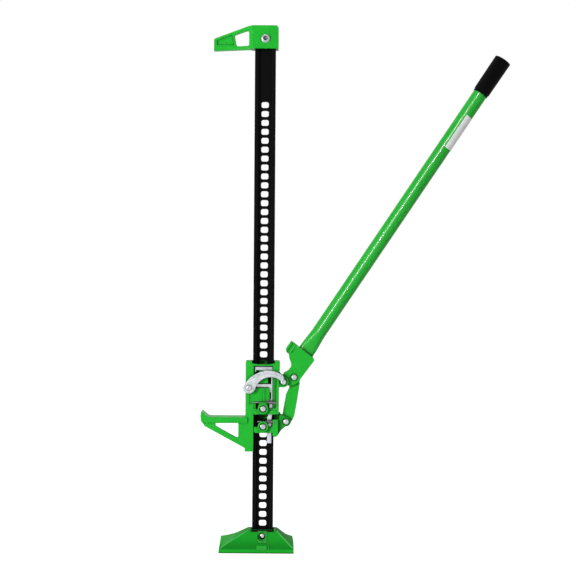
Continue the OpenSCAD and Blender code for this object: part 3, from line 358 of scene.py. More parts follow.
def shift(mesh, x, y, z):
    bmesh.ops.translate(mesh, verts=mesh.verts, vec=(x * mm, y * mm, z * mm))


def rotate(mesh, degrees, axis):
    turn = Matrix.Rotation(math.radians(degrees), 3, axis)
    bmesh.ops.rotate(mesh, verts=mesh.verts, cent=(0, 0, 0), matrix=turn)


def bevel(mesh, edges, width, segments, clamp):
    bmesh.ops.bevel(mesh, geom=edges, offset=width, offset_type="OFFSET", segments=segments, profile=0.5,
                    affect="EDGES", clamp_overlap=clamp, material=-1)


# distances in millimetres, angle in degrees
cleaning = {"weld": 0.02, "flat": 1, "weldAfter": 0.15, "thin": 0.01, "weldTurned": 0.005}


def nodeCopy(name):
    # a node's solid with its flat faces joined and its slivers taken out
    mesh = bmesh.new()
    mesh.from_mesh(nodes[name].data)
    bmesh.ops.remove_doubles(mesh, verts=mesh.verts, dist=cleaning["weld"] * mm)
    bmesh.ops.dissolve_limit(mesh, angle_limit=math.radians(cleaning["flat"]), verts=mesh.verts, edges=mesh.edges)
    bmesh.ops.remove_doubles(mesh, verts=mesh.verts, dist=cleaning["weldAfter"] * mm)
    bmesh.ops.dissolve_degenerate(mesh, dist=cleaning["thin"] * mm, edges=mesh.edges)
    mesh.normal_update()
    return mesh


# least angle in degrees, turn in radians, lengths as shares of the rounding's width, most places kept sharp
softening = {"sharp": 32, "runOn": 0.52, "keepOff": 2.5, "shortSharp": 2.2, "shortOther": 1.6, "tear": 0.45,
             "mostSpots": 200}


def runsOn(edge, sharp):
    # true where a sharp edge carries on at both ends with little turn
    noAngle = 9
    for vert in edge.verts:
        way = edge.other_vert(vert).co - vert.co
        if not any(way.angle(vert.co - other.other_vert(vert).co, noAngle) < softening["runOn"]
                   for other in vert.link_edges if other is not edge and other in sharp):
            return False
    return True


def softenEdges(mesh, width, segments, avoid):
    # rounds the sharp edges, save those too short for it or near the places in avoid
    least = math.radians(softening["sharp"])
    sharp = {edge for edge in mesh.edges if len(edge.link_faces) == 2 and edge.calc_face_angle(0) > least}
    clear = softening["keepOff"] * width
    blocked = {vert for vert in mesh.verts if any((vert.co - spot).length < clear for spot in avoid)}
    for edge in mesh.edges:
        length = edge.calc_length()
        if edge in sharp:
            tooShort = length < softening["shortSharp"] * width and not runsOn(edge, sharp)
        else:
            tooShort = length < softening["shortOther"] * width
        if tooShort:
            blocked.update(edge.verts)
    bevel(mesh, [edge for edge in sharp if not any(vert in blocked for vert in edge.verts)], width, segments, False)


def turnOf(a, b, c):
    return (b[0] - a[0]) * (c[1] - a[1]) - (b[1] - a[1]) * (c[0] - a[0])


def crossings(mesh):
    # places where the outline of a many-sided face crosses itself
    mesh.normal_update()
    spots = []
    for face in mesh.faces:
        count = len(face.verts)
        if count < 5:
            continue
        flat = max(range(3), key=lambda axis: abs(face.normal[axis]))
        points = [[vert.co[axis] for axis in range(3) if axis != flat] for vert in face.verts]
        for i in range(count):
            a, b = points[i], points[(i + 1) % count]
            for j in range(i + 2, count - (i == 0)):
                c, d = points[j], points[(j + 1) % count]
                if turnOf(a, b, c) * turnOf(a, b, d) < 0 and turnOf(c, d, a) * turnOf(c, d, b) < 0:
                    share = turnOf(c, d, a) / (turnOf(c, d, a) - turnOf(c, d, b))
                    spots.append(face.verts[i].co.lerp(face.verts[(i + 1) % count].co, share))
    return spots


def softCopy(name, width, segments=2):
    # a node's solid with rounded edges; where the rounding would tear a face, the edges there stay as they are
    width *= mm
    avoid = []
    while True:
        mesh = nodeCopy(name)
        solid = BVHTree.FromBMesh(mesh)
        softenEdges(mesh, width, segments, avoid)
        spots = [vert.co.copy() for vert in mesh.verts
                 if solid.find_nearest(vert.co)[3] > softening["tear"] * width]
        spots += crossings(mesh)
        if not spots or len(avoid) > softening["mostSpots"]:
            return mesh
        avoid += spots
        mesh.free()


# Castings: the CAD solids with rounded edges, as node, body, rounding in millimetres, its segments and material
castings = {
    "castFoot": ("base_plate", "frame", 2.9, 4, "greenFoot"),
    "castClamp": ("top_clamp", "frame", 1.3, 3, "greenCast"),
    "castRunner": ("large_runner", "carriage", 0.9, 2, "greenRunner"),
    "castSmallRunner": ("small_runner", "lower_carriage", 0.8, 2, "greenRunner"),
    "castSocket": ("handle_socket", "handle", 0.9, 2, "greenCast"),
    "castPitman": ("pitman", "link", 1.4, 3, "greenCast"),
}
for name, (node, body, width, segments, mat) in castings.items():
    newPiece(name, softCopy(node, width, segments), mat, body, "painted", node)
print("castings dressed")


# Where things sit, as X and Z in millimetres from the rack's foot, as in the CAD
seat = {
    "upperPin": (0, 327), "lowerPin": (0, 286), "pivot": (46.1, 388.3), "top": (70.520, 398.590),
    "bottom": (52.5, 296.4), "latch": (-32.64, 375.48), "baseBolt": (0, 34), "clampBolt": (0, 1173.534),
    "angle": 56.35, "tubeShift": -5.035,
}


def turnProfile(points, steps, x, z):
    # a profile of (radius, y) points spun about a line along Y through x, z
    mesh = bmesh.new()
    verts = [mesh.verts.new((r * mm, y * mm, 0)) for r, y in points]
    edges = [mesh.edges.new(pair) for pair in zip(verts, verts[1:])]
    bmesh.ops.spin(mesh, geom=verts + edges, angle=2 * math.pi, steps=steps, axis=(0, 1, 0), cent=(0, 0, 0),
                   use_merge=True)
    bmesh.ops.remove_doubles(mesh, verts=mesh.verts, dist=cleaning["weldTurned"] * mm)
    bmesh.ops.recalc_face_normals(mesh, faces=mesh.faces)
    shift(mesh, x, 0, z)
    return mesh


def joinMesh(mesh, other):
    keep = bpy.data.meshes.new("joined")
    other.to_mesh(keep)
    other.free()
    mesh.from_mesh(keep)
    bpy.data.meshes.remove(keep)
    return mesh


# A domed head: share of its radius and of its height above the seat at each point, and the shank's bevel
dome = {"dimple": 0.3, "dimpleEdge": (0.3, 0.8), "steps": 48, "bevel": 0.8,
        "points": ((0.52, 0), (0.74, 0.08), (0.9, 0.28), (0.98, 0.55))}


def roundHead(x, z, face, radius, height, shank, end):
    # a domed head that stands towards the front from its seat, with a shank going back
    top = face - height
    share, deep = dome["dimpleEdge"]
    points = [(0, top + dome["dimple"]), (radius * share, top + dome["dimple"] * deep)]
    points += [(radius * wide, top + height * low) for wide, low in dome["points"]]
    points += [(radius, face), (shank, face), (shank, end - dome["bevel"]), (shank - dome["bevel"], end), (0, end)]
    return turnProfile(points, dome["steps"], x, z)


# shares of the nut's outer radius and of its width over the bore, and the least angle of an edge to bevel
nutLook = {"flat": 0.866, "ring": 0.86, "bevel": 0.09, "sharp": 1.2}


def nutBody(x, z, front, back, radius, bore, turn=0):
    # a hexagon nut: a six-sided prism with bevelled ends and a ring drawn round the bore
    mesh = bmesh.new()
    bmesh.ops.create_circle(mesh, cap_ends=True, segments=6, radius=radius * mm)
    top = bmesh.ops.extrude_face_region(mesh, geom=mesh.faces[:])
    moved = [v for v in top["geom"] if isinstance(v, bmesh.types.BMVert)]
    bmesh.ops.translate(mesh, verts=moved, vec=(0, 0, (back - front) * mm))
    bmesh.ops.recalc_face_normals(mesh, faces=mesh.faces)
    caps = [face for face in mesh.faces if len(face.verts) == 6]
    ring = (radius * nutLook["flat"] - bore) * mm * nutLook["ring"]
    bmesh.ops.inset_individual(mesh, faces=caps, thickness=ring, depth=0)
    rims = [edge for edge in mesh.edges if len(edge.link_faces) == 2 and edge.calc_face_angle(0) > nutLook["sharp"]
            and abs(edge.verts[0].co.z - edge.verts[1].co.z) < 1e-6]
    bevel(mesh, rims, radius * nutLook["bevel"] * mm, 2, True)
    rotate(mesh, turn, "Z")
    rotate(mesh, 90, "X")
    shift(mesh, x, back, z)
    return mesh


# Bolts and pins: node, body, place, the head's seat, radius and height, the shank's radius and end
fasteners = {
    "shearBolt": ("shear_bolt", "carriage", "pivot", -21.05, 6.9, 4.8, 4.8, 31.5),
    "topPin": ("pitman_top_pin", "handle", "top", -13.65, 6.9, 4.8, 4.8, 24.1),
    "bottomPin": ("pitman_bottom_pin", "lower_carriage", "bottom", -13.65, 6.9, 4.8, 4.8, 24.1),
    "footBolt": ("base_bolt", "frame", "baseBolt", -20.77, 6.4, 5.0, 5.0, 30.7),
}
for name, (node, body, place, *sizes) in fasteners.items():
    newPiece(name, roundHead(*seat[place], *sizes), "zincRound", body, "zinc", node)

# Nuts: node, body, place, front, back, outer radius, bore's radius, turn in degrees
nuts = {
    "shearNut": ("shear_nut", "carriage", "pivot", 22.8, 29.5, 8.64, 4.85, 12),
    "topNut": ("pitman_top_nut", "handle", "top", 15.4, 22.1, 8.64, 4.85, 25),
    "bottomNut": ("pitman_bottom_nut", "lower_carriage", "bottom", 15.4, 22.1, 8.64, 4.85, 5),
    "footNut": ("base_nut", "frame", "baseBolt", 20.77, 28.7, 9.5, 5.05, 0),
    "clampNut": ("clamp_nut", "frame", "clampBolt", 21, 30.6, 10.44, 6.05, 20),
}
for name, (node, body, place, *sizes) in nuts.items():
    newPiece(name, nutBody(*seat[place], *sizes), "zincRound", body, "zinc", node)

# The clamp's bolt: a flanged round head with a deep socket, and its shank
clampBolt = {
    # crown: steps in from the head's radius, with depth under its top; skirt: the same for the flange, over its seat
    "front": -21, "high": 7.0, "socket": 4.7, "deep": 5.2, "dish": 0.6, "dishShare": 0.4, "mouth": 0.6, "lead": 0.7,
    "head": 7.7, "crown": ((1.1, 0), (0.3, 0.4), (0, 1.3)), "neck": 2.4, "flange": 9.4,
    "skirt": ((0.9, 2.0), (0, 1.3)), "shank": 6, "end": 33, "bevel": 1, "steps": 56,
}
face, top = clampBolt["front"], clampBolt["front"] - clampBolt["high"]
socket, shank = clampBolt["socket"], clampBolt["shank"]
floorY = top + clampBolt["deep"]
points = [(0, floorY + clampBolt["dish"]), (socket * clampBolt["dishShare"], floorY), (socket, floorY),
          (socket, top + clampBolt["lead"]), (socket + clampBolt["mouth"], top)]
points += [(clampBolt["head"] - step, top + depth) for step, depth in clampBolt["crown"]]
points.append((clampBolt["head"], face - clampBolt["neck"]))
points += [(clampBolt["flange"] - step, face - rise) for step, rise in clampBolt["skirt"]]
points += [(clampBolt["flange"], face), (shank, face), (shank, clampBolt["end"] - clampBolt["bevel"]),
           (shank - clampBolt["bevel"], clampBolt["end"]), (0, clampBolt["end"])]
newPiece("clampScrew", turnProfile(points, clampBolt["steps"], *seat["clampBolt"]), "zincRound", "frame", "zinc",
         "clamp_bolt")

# Old grease in that socket: share of its radius, and depth under the head's top
grease = {"gap": 0.1, "profile": ((0, 3.2), (0.5, 3.0), (0.85, 2.2), (1, 0.9), (1, 4), (0, 4)), "steps": 40}
points = [((socket - grease["gap"]) * share, top + depth) for share, depth in grease["profile"]]
newPiece("clampSocket", turnProfile(points, grease["steps"], *seat["clampBolt"]), "greasedSteel", "frame", "steel")
print("bolts and nuts made")

# Climbing pins: ground round bars with a coned nose and a small turned centre mark at the front
climbingPin = {"radius": 6.2, "nose": -4.5, "tail": -31.5, "cone": 2.4, "edge": 1.1, "edgeIn": 0.3, "edgeShare": 0.35,
               "mark": 1.4, "markDeep": 0.9, "markRim": 0.05, "steps": 56}
radius, edge, cone = climbingPin["radius"], climbingPin["edge"], climbingPin["cone"]
tail, nose = climbingPin["tail"], climbingPin["nose"]
profile = [(0, tail + climbingPin["markDeep"]), (climbingPin["mark"], tail + climbingPin["markRim"]),
           (radius - edge, tail), (radius - climbingPin["edgeIn"], tail + edge * climbingPin["edgeShare"]),
           (radius, tail + edge), (radius, nose - cone), (radius - cone, nose), (0, nose)]
climbingPins = {
    "upperPinBar": ("upper_climbing_pin", "upper_pin", "upperPin"),
    "lowerPinBar": ("lower_climbing_pin", "lower_pin", "lowerPin"),
}
for name, (node, body, place) in climbingPins.items():
    newPiece(name, turnProfile(profile, climbingPin["steps"], *seat[place]), "zincRound", body, "zinc", node)


# Cross pins along X, with bevelled ends, and the coils that sit round them
crossPin = {"radius": 2, "edge": 0.6, "steps": 28}


def crossRod(box):
    radius, edge = crossPin["radius"], crossPin["edge"]
    x0, x1 = box[0][0] / mm, box[1][0] / mm
    points = [(0, x0), (radius - edge, x0), (radius, x0 + edge), (radius, x1 - edge), (radius - edge, x1), (0, x1)]
    mesh = turnProfile(points, crossPin["steps"], 0, 0)
    rotate(mesh, -90, "Z")
    middle = (0, (box[0][1] + box[1][1]) / 2, (box[0][2] + box[1][2]) / 2)
    bmesh.ops.translate(mesh, verts=mesh.verts, vec=middle)
    return mesh


coil = {"radius": 3.62, "pitch": 2.376, "turns": 4, "wire": 0.75, "end": 20.58, "steps": 20, "legSteps": 6,
        "legTurn": 1.57, "legOut": 1.6, "legDown": 2.4, "resolution": 3}


def coilPath(y, z, leg, reach):
    # one leg rises beside the pin, the coil runs round it, and the free leg bends out and lies across the column
    start = coil["end"] - coil["turns"] * coil["pitch"]
    radius, parts = coil["radius"], coil["legSteps"]
    points = [(start, y - radius, z + leg * radius * (1 - i / parts)) for i in range(parts)]
    for i in range(coil["turns"] * coil["steps"] + 1):
        a = 2 * math.pi * i / coil["steps"]
        points.append((start + coil["pitch"] * i / coil["steps"], y - radius * math.cos(a), z - radius * math.sin(a)))
    for i in range(1, parts + 1):
        bend = math.sin(i / parts * coil["legTurn"])
        points.append((coil["end"] + (reach - coil["end"]) * i / parts, y - radius - coil["legOut"] * bend,
                       z - coil["legDown"] * bend))
    return points


def wireMesh(name, points):
    # a round wire along points in millimetres
    curve = bpy.data.curves.new(name, "CURVE")
    curve.dimensions = "3D"
    spline = curve.splines.new("POLY")
    spline.points.add(len(points) - 1)
    for point, place in zip(spline.points, points):
        point.co = (place[0] * mm, place[1] * mm, place[2] * mm, 1)
    curve.bevel_depth = coil["wire"] * mm
    curve.bevel_resolution = coil["resolution"]
    curve.use_fill_caps = True
    wire = bpy.data.objects.new(name, curve)
    bpy.context.scene.collection.objects.link(wire)
    mesh = bmesh.new()
    mesh.from_mesh(wire.to_mesh())
    bpy.data.objects.remove(wire)
    bpy.data.curves.remove(curve)
    return mesh


# pin's node, spring's node, body, length of the first leg in coil radii, where the free leg ends
pinSets = {
    "upper": ("upper_cross_pin", "upper_pin_spring", "carriage", 2.6, 34),
    "lower": ("lower_cross_pin", "lower_pin_spring", "lower_carriage", 1.5, 28.5),
}
for name, (pinNode, springNode, body, leg, reach) in pinSets.items():
    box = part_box(pinNode)
    newPiece(name + "CrossPin", crossRod(box), "springSteel", body, "steel", pinNode)
    y, z = (box[0][1] + box[1][1]) / 2 / mm, (box[0][2] + box[1][2]) / 2 / mm
    mesh = wireMesh(name + "Wire", coilPath(y, z, leg, reach))
    newPiece(name + "Spring", mesh, "springSteel", body, "steel", springNode)
print("pins and springs made")


# Plates: an outline in X and Z between two planes, with rounded front and back edges
def plateFrom(outline, front, back, soft, segments=3, plain=None):
    # edges that lie at X = plain stay sharp
    mesh = bmesh.new()
    face = mesh.faces.new([mesh.verts.new((x * mm, back * mm, z * mm)) for x, z in outline])
    grown = bmesh.ops.extrude_face_region(mesh, geom=[face])
    moved = [v for v in grown["geom"] if isinstance(v, bmesh.types.BMVert)]
    bmesh.ops.translate(mesh, verts=moved, vec=(0, (front - back) * mm, 0))
    bmesh.ops.recalc_face_normals(mesh, faces=mesh.faces)
    rims = [edge for edge in mesh.edges if abs(edge.verts[0].co.y - edge.verts[1].co.y) < 1e-7
            and not (plain is not None and all(abs(vert.co.x - plain * mm) < 1e-6 for vert in edge.verts))]
    bevel(mesh, rims, soft * mm, segments, False)
    return mesh


def corners(left, right, low, high):
    return [(left, low), (right, low), (right, high), (left, high)]


def arcPoints(centre, radius, start, end, count):
    angles = [math.radians(start + (end - start) * i / count) for i in range(count + 1)]
    return [(centre[0] + radius * math.cos(a), centre[1] + radius * math.sin(a)) for a in angles]


# Reversing latch: a pressed arm between two arcs, with a round eye and a rolled tip
latch = {"front": -34, "back": -28, "soft": 1.2, "disc": 13.7, "tip": (41.52, 396.568), "tipRadius": 5.75,
         "outer": (9.6, 356.349), "outerRadius": 58.85, "step": 1.5, "inner": (16.944, 363.523), "innerRadius": 36.29}
# centre, radius, first and last angle in degrees, steps
latchArcs = [
    (latch["outer"], latch["outerRadius"] - latch["step"], 150.8, 98, 18),
    (latch["outer"], latch["outerRadius"], 95.5, 51.5, 16),
    (latch["tip"], latch["tipRadius"], 20, -158, 14),
    (latch["inner"], latch["innerRadius"], 58.1, 168, 28),
    (seat["latch"], latch["disc"], -24, -229, 30),
]
outline = [point for arc in latchArcs for point in arcPoints(*arc)]
mesh = plateFrom(outline, latch["front"], latch["back"], latch["soft"])

# The bead along the arm: it runs between the two arcs and narrows at both ends
bead = {"wide": 1.1, "high": 0.55, "sunk": 0.6, "soft": 0.45, "steps": 24, "outerIn": 2, "outerFrom": 139,
        "outerTo": 56, "innerOut": 1, "innerFrom": 151, "innerTo": 60, "outerShare": 0.62, "taperFrom": 0.08,
        "taperLong": 0.84, "taperPower": 0.4}
outer = arcPoints(latch["outer"], latch["outerRadius"] - bead["outerIn"], bead["outerFrom"], bead["outerTo"],
                  bead["steps"])
inner = arcPoints(latch["inner"], latch["innerRadius"] + bead["innerOut"], bead["innerFrom"], bead["innerTo"],
                  bead["steps"])
share = bead["outerShare"]
middle = [(a[0] * share + b[0] * (1 - share), a[1] * share + b[1] * (1 - share)) for a, b in zip(outer, inner)]
sides = ([], [])
for i, (x, z) in enumerate(middle):
    ahead, behind = middle[min(i + 1, bead["steps"])], middle[max(i - 1, 0)]
    run = math.hypot(ahead[0] - behind[0], ahead[1] - behind[1])
    nx, nz = (behind[1] - ahead[1]) / run, (ahead[0] - behind[0]) / run
    taper = math.sin(math.pi * (bead["taperFrom"] + bead["taperLong"] * i / bead["steps"])) ** bead["taperPower"]
    wide = bead["wide"] * taper
    sides[0].append((x + nx * wide, z + nz * wide))
    sides[1].append((x - nx * wide, z - nz * wide))
joinMesh(mesh, plateFrom(sides[0] + sides[1][::-1], latch["front"] - bead["high"], latch["front"] + bead["sunk"],
                         bead["soft"], 2))

# The raised ring round its eye: share of the disc's radius, and depth behind the arm's front
eyeRing = {"profile": ((0.52, 0.5), (0.56, -0.5), (0.8, -0.6), (0.86, 0.5)), "steps": 48}
ring = [(latch["disc"] * share, latch["front"] + depth) for share, depth in eyeRing["profile"]]
joinMesh(mesh, turnProfile(ring, eyeRing["steps"], *seat["latch"]))
newPiece("latchArm", mesh, "zincPlate", "latch", "zinc", "reversing_latch")
latchRivet = {"face": -34.45, "radius": 6.2, "height": 2.9, "shank": 4.1, "end": -12.45}
newPiece("latchRivet", roundHead(*seat["latch"], *latchRivet.values()), "zincRound", "carriage", "steel",
         "latch_bolt")
spacer = {"bore": 4.2, "flat": 10.4, "radius": 10.96, "back": -24, "front": -27.6, "edge": 0.5, "steps": 48}
points = [(spacer["bore"], spacer["back"]), (spacer["flat"], spacer["back"]),
          (spacer["radius"], spacer["back"] - spacer["edge"]), (spacer["radius"], spacer["front"] + spacer["edge"]),
          (spacer["flat"], spacer["front"]), (spacer["bore"], spacer["front"]), (spacer["bore"], spacer["back"])]
newPiece("latchSpacer", turnProfile(points, spacer["steps"], *seat["latch"]), "zincPlate", "carriage", "zinc",
         "latch_washer")

# Foot: the form of its slopes, then the panel, pad and web cast on the front one, as left, right, low, high and lift
foot = {"top": 48, "edge": 7, "collarX": 31.8, "collarY": 18.6, "half": 56, "left": -99.5, "right": 72.5}
relief = {"panel": (-9.8, 10.8, 21.5, 45.5, 1.7), "pad": (-13, 11, 6.5, 17, 2.6), "web": (14.2, 16.4, 8, 21, 1.9),
          "sunk": 0.5, "panelSoft": 0.7, "padSoft": 0.8, "boltZ": 34, "seat": 9.2, "seatParts": 16}
slant = (foot["half"] - foot["collarY"]) / (foot["top"] - foot["edge"])


def onSlope(mesh):
    # leans a mesh drawn round Y = 0 back on the front slope, and keeps it inside the foot's front edge
    for vert in mesh.verts:
        vert.co.y -= (foot["collarY"] + (foot["top"] - vert.co.z / mm) * slant) * mm
        vert.co.y = max(vert.co.y, -foot["half"] * mm)
    return mesh


# the panel is made in two halves round the bolt's seat
left, right, low, high, lift = relief["panel"]
turns = [math.pi * i / relief["seatParts"] for i in range(relief["seatParts"] + 1)]
ring = [(relief["seat"] * math.sin(a), relief["boltZ"] + relief["seat"] * math.cos(a)) for a in turns]
mesh = plateFrom([(0, high), (right, high), (right, low), (0, low)] + ring[::-1], -lift, relief["sunk"],
                 relief["panelSoft"], plain=0)
joinMesh(mesh, plateFrom([(0, low), (left, low), (left, high), (0, high)] + [(-x, z) for x, z in ring], -lift,
                         relief["sunk"], relief["panelSoft"], plain=0))
for name in ("pad", "web"):
    *sizes, lift = relief[name]
    joinMesh(mesh, plateFrom(corners(*sizes), -lift, relief["sunk"], relief["padSoft"]))
cup = {"radius": 9.0, "bore": 6.9, "front": 0.3, "step": 2.2, "back": 9, "steps": 48}
points = [(cup["radius"], cup["front"]), (cup["bore"], cup["step"]), (cup["bore"], cup["back"]),
          (cup["radius"], cup["back"]), (cup["radius"], cup["front"])]
joinMesh(mesh, turnProfile(points, cup["steps"], 0, relief["boltZ"]))
newPiece("footRelief", onSlope(mesh), "greenCast", "frame", "painted")

# A thin black sheet on the collar's lip: a painted shadow for the dark gap in which the rack's foot shows
gap = {"half": 26.4, "low": 43.4, "high": 48.2, "front": -0.35, "back": 0.3, "soft": 0.2}
mesh = plateFrom(corners(-gap["half"], gap["half"], gap["low"], gap["high"]), gap["front"], gap["back"], gap["soft"])
newPiece("collarShadowSheet", onSlope(mesh), "blackSteel", "frame", "rack_black")

# The carriage's ledge under the upper pin's boss
ledge = {"left": -23.4, "right": 30.4, "low": 313.6, "high": 323.4, "front": -25.1, "back": -23.2, "soft": 0.7}
outline = corners(ledge["left"], ledge["right"], ledge["low"], ledge["high"])
newPiece("runnerLedge", plateFrom(outline, ledge["front"], ledge["back"], ledge["soft"]), "greenCast", "carriage",
         "painted")


# Ribs in lighter paint along the foot's four slanting corners, a painted highlight on them: shares of a corner's run,
# drops in millimetres, the domes' share
rib = {"radius": 1.5, "from": 0.02, "to": 0.93, "startDrop": 0.7, "endDrop": 0.5, "collarDrop": 0.9, "sides": 14,
       "dome": 0.6, "sharp": 1.2}


def rodBetween(start, end, radius):
    # a round rod with domed ends between two points
    start, end = start * mm, end * mm
    mesh = bmesh.new()
    bmesh.ops.create_cone(mesh, cap_ends=True, segments=rib["sides"], radius1=radius * mm, radius2=radius * mm,
                          depth=(end - start).length)
    rims = [edge for edge in mesh.edges if edge.calc_face_angle(0) > rib["sharp"]]
    bevel(mesh, rims, radius * rib["dome"] * mm, 3, True)
    turn = (end - start).to_track_quat("Z", "Y").to_matrix()
    bmesh.ops.rotate(mesh, verts=mesh.verts, cent=(0, 0, 0), matrix=turn)
    bmesh.ops.translate(mesh, verts=mesh.verts, vec=(start + end) / 2)
    return mesh


mesh = bmesh.new()
endY = foot["half"] - foot["edge"] / 3
endZ = foot["top"] - (endY - foot["collarY"]) / slant
for side in (-1, 1):
    for sideX, end in ((-foot["collarX"], foot["left"]), (foot["collarX"], foot["right"])):
        start = Vector((sideX, side * foot["collarY"], foot["top"] - rib["collarDrop"]))
        finish = Vector((end, side * endY, endZ))
        joinMesh(mesh, rodBetween(start.lerp(finish, rib["from"]) - Vector((0, 0, rib["startDrop"])),
                                  start.lerp(finish, rib["to"]) - Vector((0, 0, rib["endDrop"])), rib["radius"]))
newPiece("footRibs", mesh, "greenHighlight", "frame", "painted")
print("foot's relief made")

# Shifter bar and rack: the CAD shapes with their edges broken, by these widths in millimetres
edgeBreak = {"shifter_bar": 0.45, "rack": 0.7, "handle_bolt": 0.5}
mesh = softCopy("shifter_bar", edgeBreak["shifter_bar"])
newPiece("shifterPlate", mesh, "zincPlate", "shifter", "zinc", "shifter_bar")
newPiece("rackBar", softCopy("rack", edgeBreak["rack"]), "blackSteel", "frame", "rack_black", "rack")
print("latch, shifter bar and rack made")


# Handle: a smooth tube, a moulded grip and a bare label
def alongHandle(mesh, sideways):
    # takes a mesh made about Z, with Z running along the handle from the socket's pivot, to its place
    shift(mesh, sideways, 0, 0)
    rotate(mesh, 90 - seat["angle"], "Y")
    shift(mesh, seat["pivot"][0], 0, seat["pivot"][1])
    return mesh


# Raised band along the lug beside the socket's mouth, in lighter paint as a painted highlight, drawn with X running
# along the handle
lug = {"from": 59.5, "to": 86, "low": 23.2, "high": 26.4, "front": -16.6, "back": -15, "soft": 0.5}
mesh = plateFrom(corners(lug["from"], lug["to"], lug["low"], lug["high"]), lug["front"], lug["back"], lug["soft"])
rotate(mesh, -seat["angle"], "Y")
shift(mesh, seat["pivot"][0], 0, seat["pivot"][1])
newPiece("lugBand", mesh, "greenHighlight", "handle", "painted")

# The tube: flattened in the socket, round above it. Places are in millimetres along the handle.
tube = {"start": 50.9, "flare": 89.4, "round": 141.5, "end": 890.8, "radius": 16.7, "flatWide": 38.6,
        "flatDeep": 17.7, "wall": 3, "sides": 96, "lead": 4, "flareRows": 24, "follow": 20, "rows": [400, 640],
        "edgeSoft": 0.02, "roundSoft": 0.3}


def tubeSection(up, side):
    # one point of the tube's section: a stadium that turns round over the flare
    t = min(1, max(0, (up - tube["flare"]) / (tube["round"] - tube["flare"])))
    t = t * t * (3 - 2 * t)
    wide = tube["flatWide"] + (2 * tube["radius"] - tube["flatWide"]) * t
    deep = tube["flatDeep"] + (2 * tube["radius"] - tube["flatDeep"]) * t
    a = 2 * math.pi * (side + 0.5) / tube["sides"]
    soft = tube["edgeSoft"] + tube["roundSoft"] * t
    offset = (wide - deep) / 2 * math.cos(a) / math.sqrt(math.cos(a) ** 2 + soft) * math.sqrt(1 + soft)
    return Vector((deep / 2 * math.cos(a) + offset, deep / 2 * math.sin(a), up)) * mm


# a grid rolled round the handle: one column a side, one row a station
flareStep = (tube["round"] - tube["flare"]) / tube["flareRows"]
stations = [tube["start"], tube["flare"] - tube["lead"]]
stations += [tube["flare"] + flareStep * i for i in range(tube["flareRows"] + 1)]
stations += [tube["round"] + tube["follow"]] + tube["rows"] + [tube["end"]]
mesh = bmesh.new()
bmesh.ops.create_grid(mesh, x_segments=tube["sides"], y_segments=len(stations) - 1, size=1)
for vert in mesh.verts:
    side = round((vert.co.x + 1) / 2 * tube["sides"])
    row = round((vert.co.y + 1) / 2 * (len(stations) - 1))
    vert.co = tubeSection(stations[row], side % tube["sides"])
bmesh.ops.remove_doubles(mesh, verts=mesh.verts, dist=cleaning["weld"] * mm)
bmesh.ops.recalc_face_normals(mesh, faces=mesh.faces)
bmesh.ops.solidify(mesh, geom=mesh.faces[:], thickness=tube["wall"] * mm)
bmesh.ops.recalc_face_normals(mesh, faces=mesh.faces)
tubeWall = newPiece("tubeWall", alongHandle(mesh, -seat["tubeShift"]), "greenTube", "handle", "painted",
                    "handle_tube", smooth=50)

# The grip: a lip, a body that widens a little, a rounded end with a slight dish, and shallow flutes
grip = {"start": 801, "end": 895, "bore": 16.75, "lip": 6, "lipRadius": 18.0, "lipIn": 0.5, "lipUp": 0.6,
        "step": 0.9, "bodyFrom": 1, "rows": 12, "low": 19.25, "high": 19.85, "corner": 1.4,
        "cornerTurns": (0.3, 0.65, 1.0, 1.3, 1.57), "dish": ((0.5, 0.15), (0, 0.25)), "flutes": 28, "fluteSides": 4,
        "fluteDeep": 0.15, "flutePower": 3, "fluteFrom": 6, "fluteTo": 8, "fluteSkin": 0.2}
lipEnd = grip["start"] + grip["lip"]
bodyFrom, bodyTo = lipEnd + grip["bodyFrom"], grip["end"] - grip["corner"]
points = [(grip["bore"], grip["start"]), (grip["lipRadius"] - grip["lipIn"], grip["start"]),
          (grip["lipRadius"], grip["start"] + grip["lipUp"]), (grip["lipRadius"], lipEnd),
          (grip["low"], lipEnd + grip["step"])]
for i in range(1, grip["rows"] + 1):
    t = i / grip["rows"]
    points.append((grip["low"] + (grip["high"] - grip["low"]) * t, bodyFrom + (bodyTo - bodyFrom) * t))
points += [(grip["high"] - grip["corner"] * (1 - math.cos(a)), grip["end"] - grip["corner"] * (1 - math.sin(a)))
           for a in grip["cornerTurns"]]
points += [(grip["high"] * share, grip["end"] - depth) for share, depth in grip["dish"]]
mesh = turnProfile(points, grip["flutes"] * grip["fluteSides"], 0, 0)
rotate(mesh, 90, "X")
for vert in mesh.verts:
    radius = math.hypot(vert.co.x, vert.co.y) / mm
    up = vert.co.z / mm
    if lipEnd + grip["fluteFrom"] < up < grip["end"] - grip["fluteTo"] and radius > grip["low"] - grip["fluteSkin"]:
        wave = 0.5 - 0.5 * math.cos(math.atan2(vert.co.y, vert.co.x) * grip["flutes"])
        shrink = 1 - grip["fluteDeep"] / radius * wave ** grip["flutePower"]
        vert.co.x *= shrink
        vert.co.y *= shrink
bmesh.ops.recalc_face_normals(mesh, faces=mesh.faces)
newPiece("gripSleeve", alongHandle(mesh, -seat["tubeShift"]), "gripRubber", "handle", "grip_rubber", "handle_grip",
         smooth=50)

newPiece("labelSheet", nodeCopy("handle_label"), "labelFilm", "handle", "label_white", "handle_label")
mesh = softCopy("handle_bolt", edgeBreak["handle_bolt"])
newPiece("socketScrew", mesh, "zincRound", "handle", "zinc", "handle_bolt")
print("handle made")


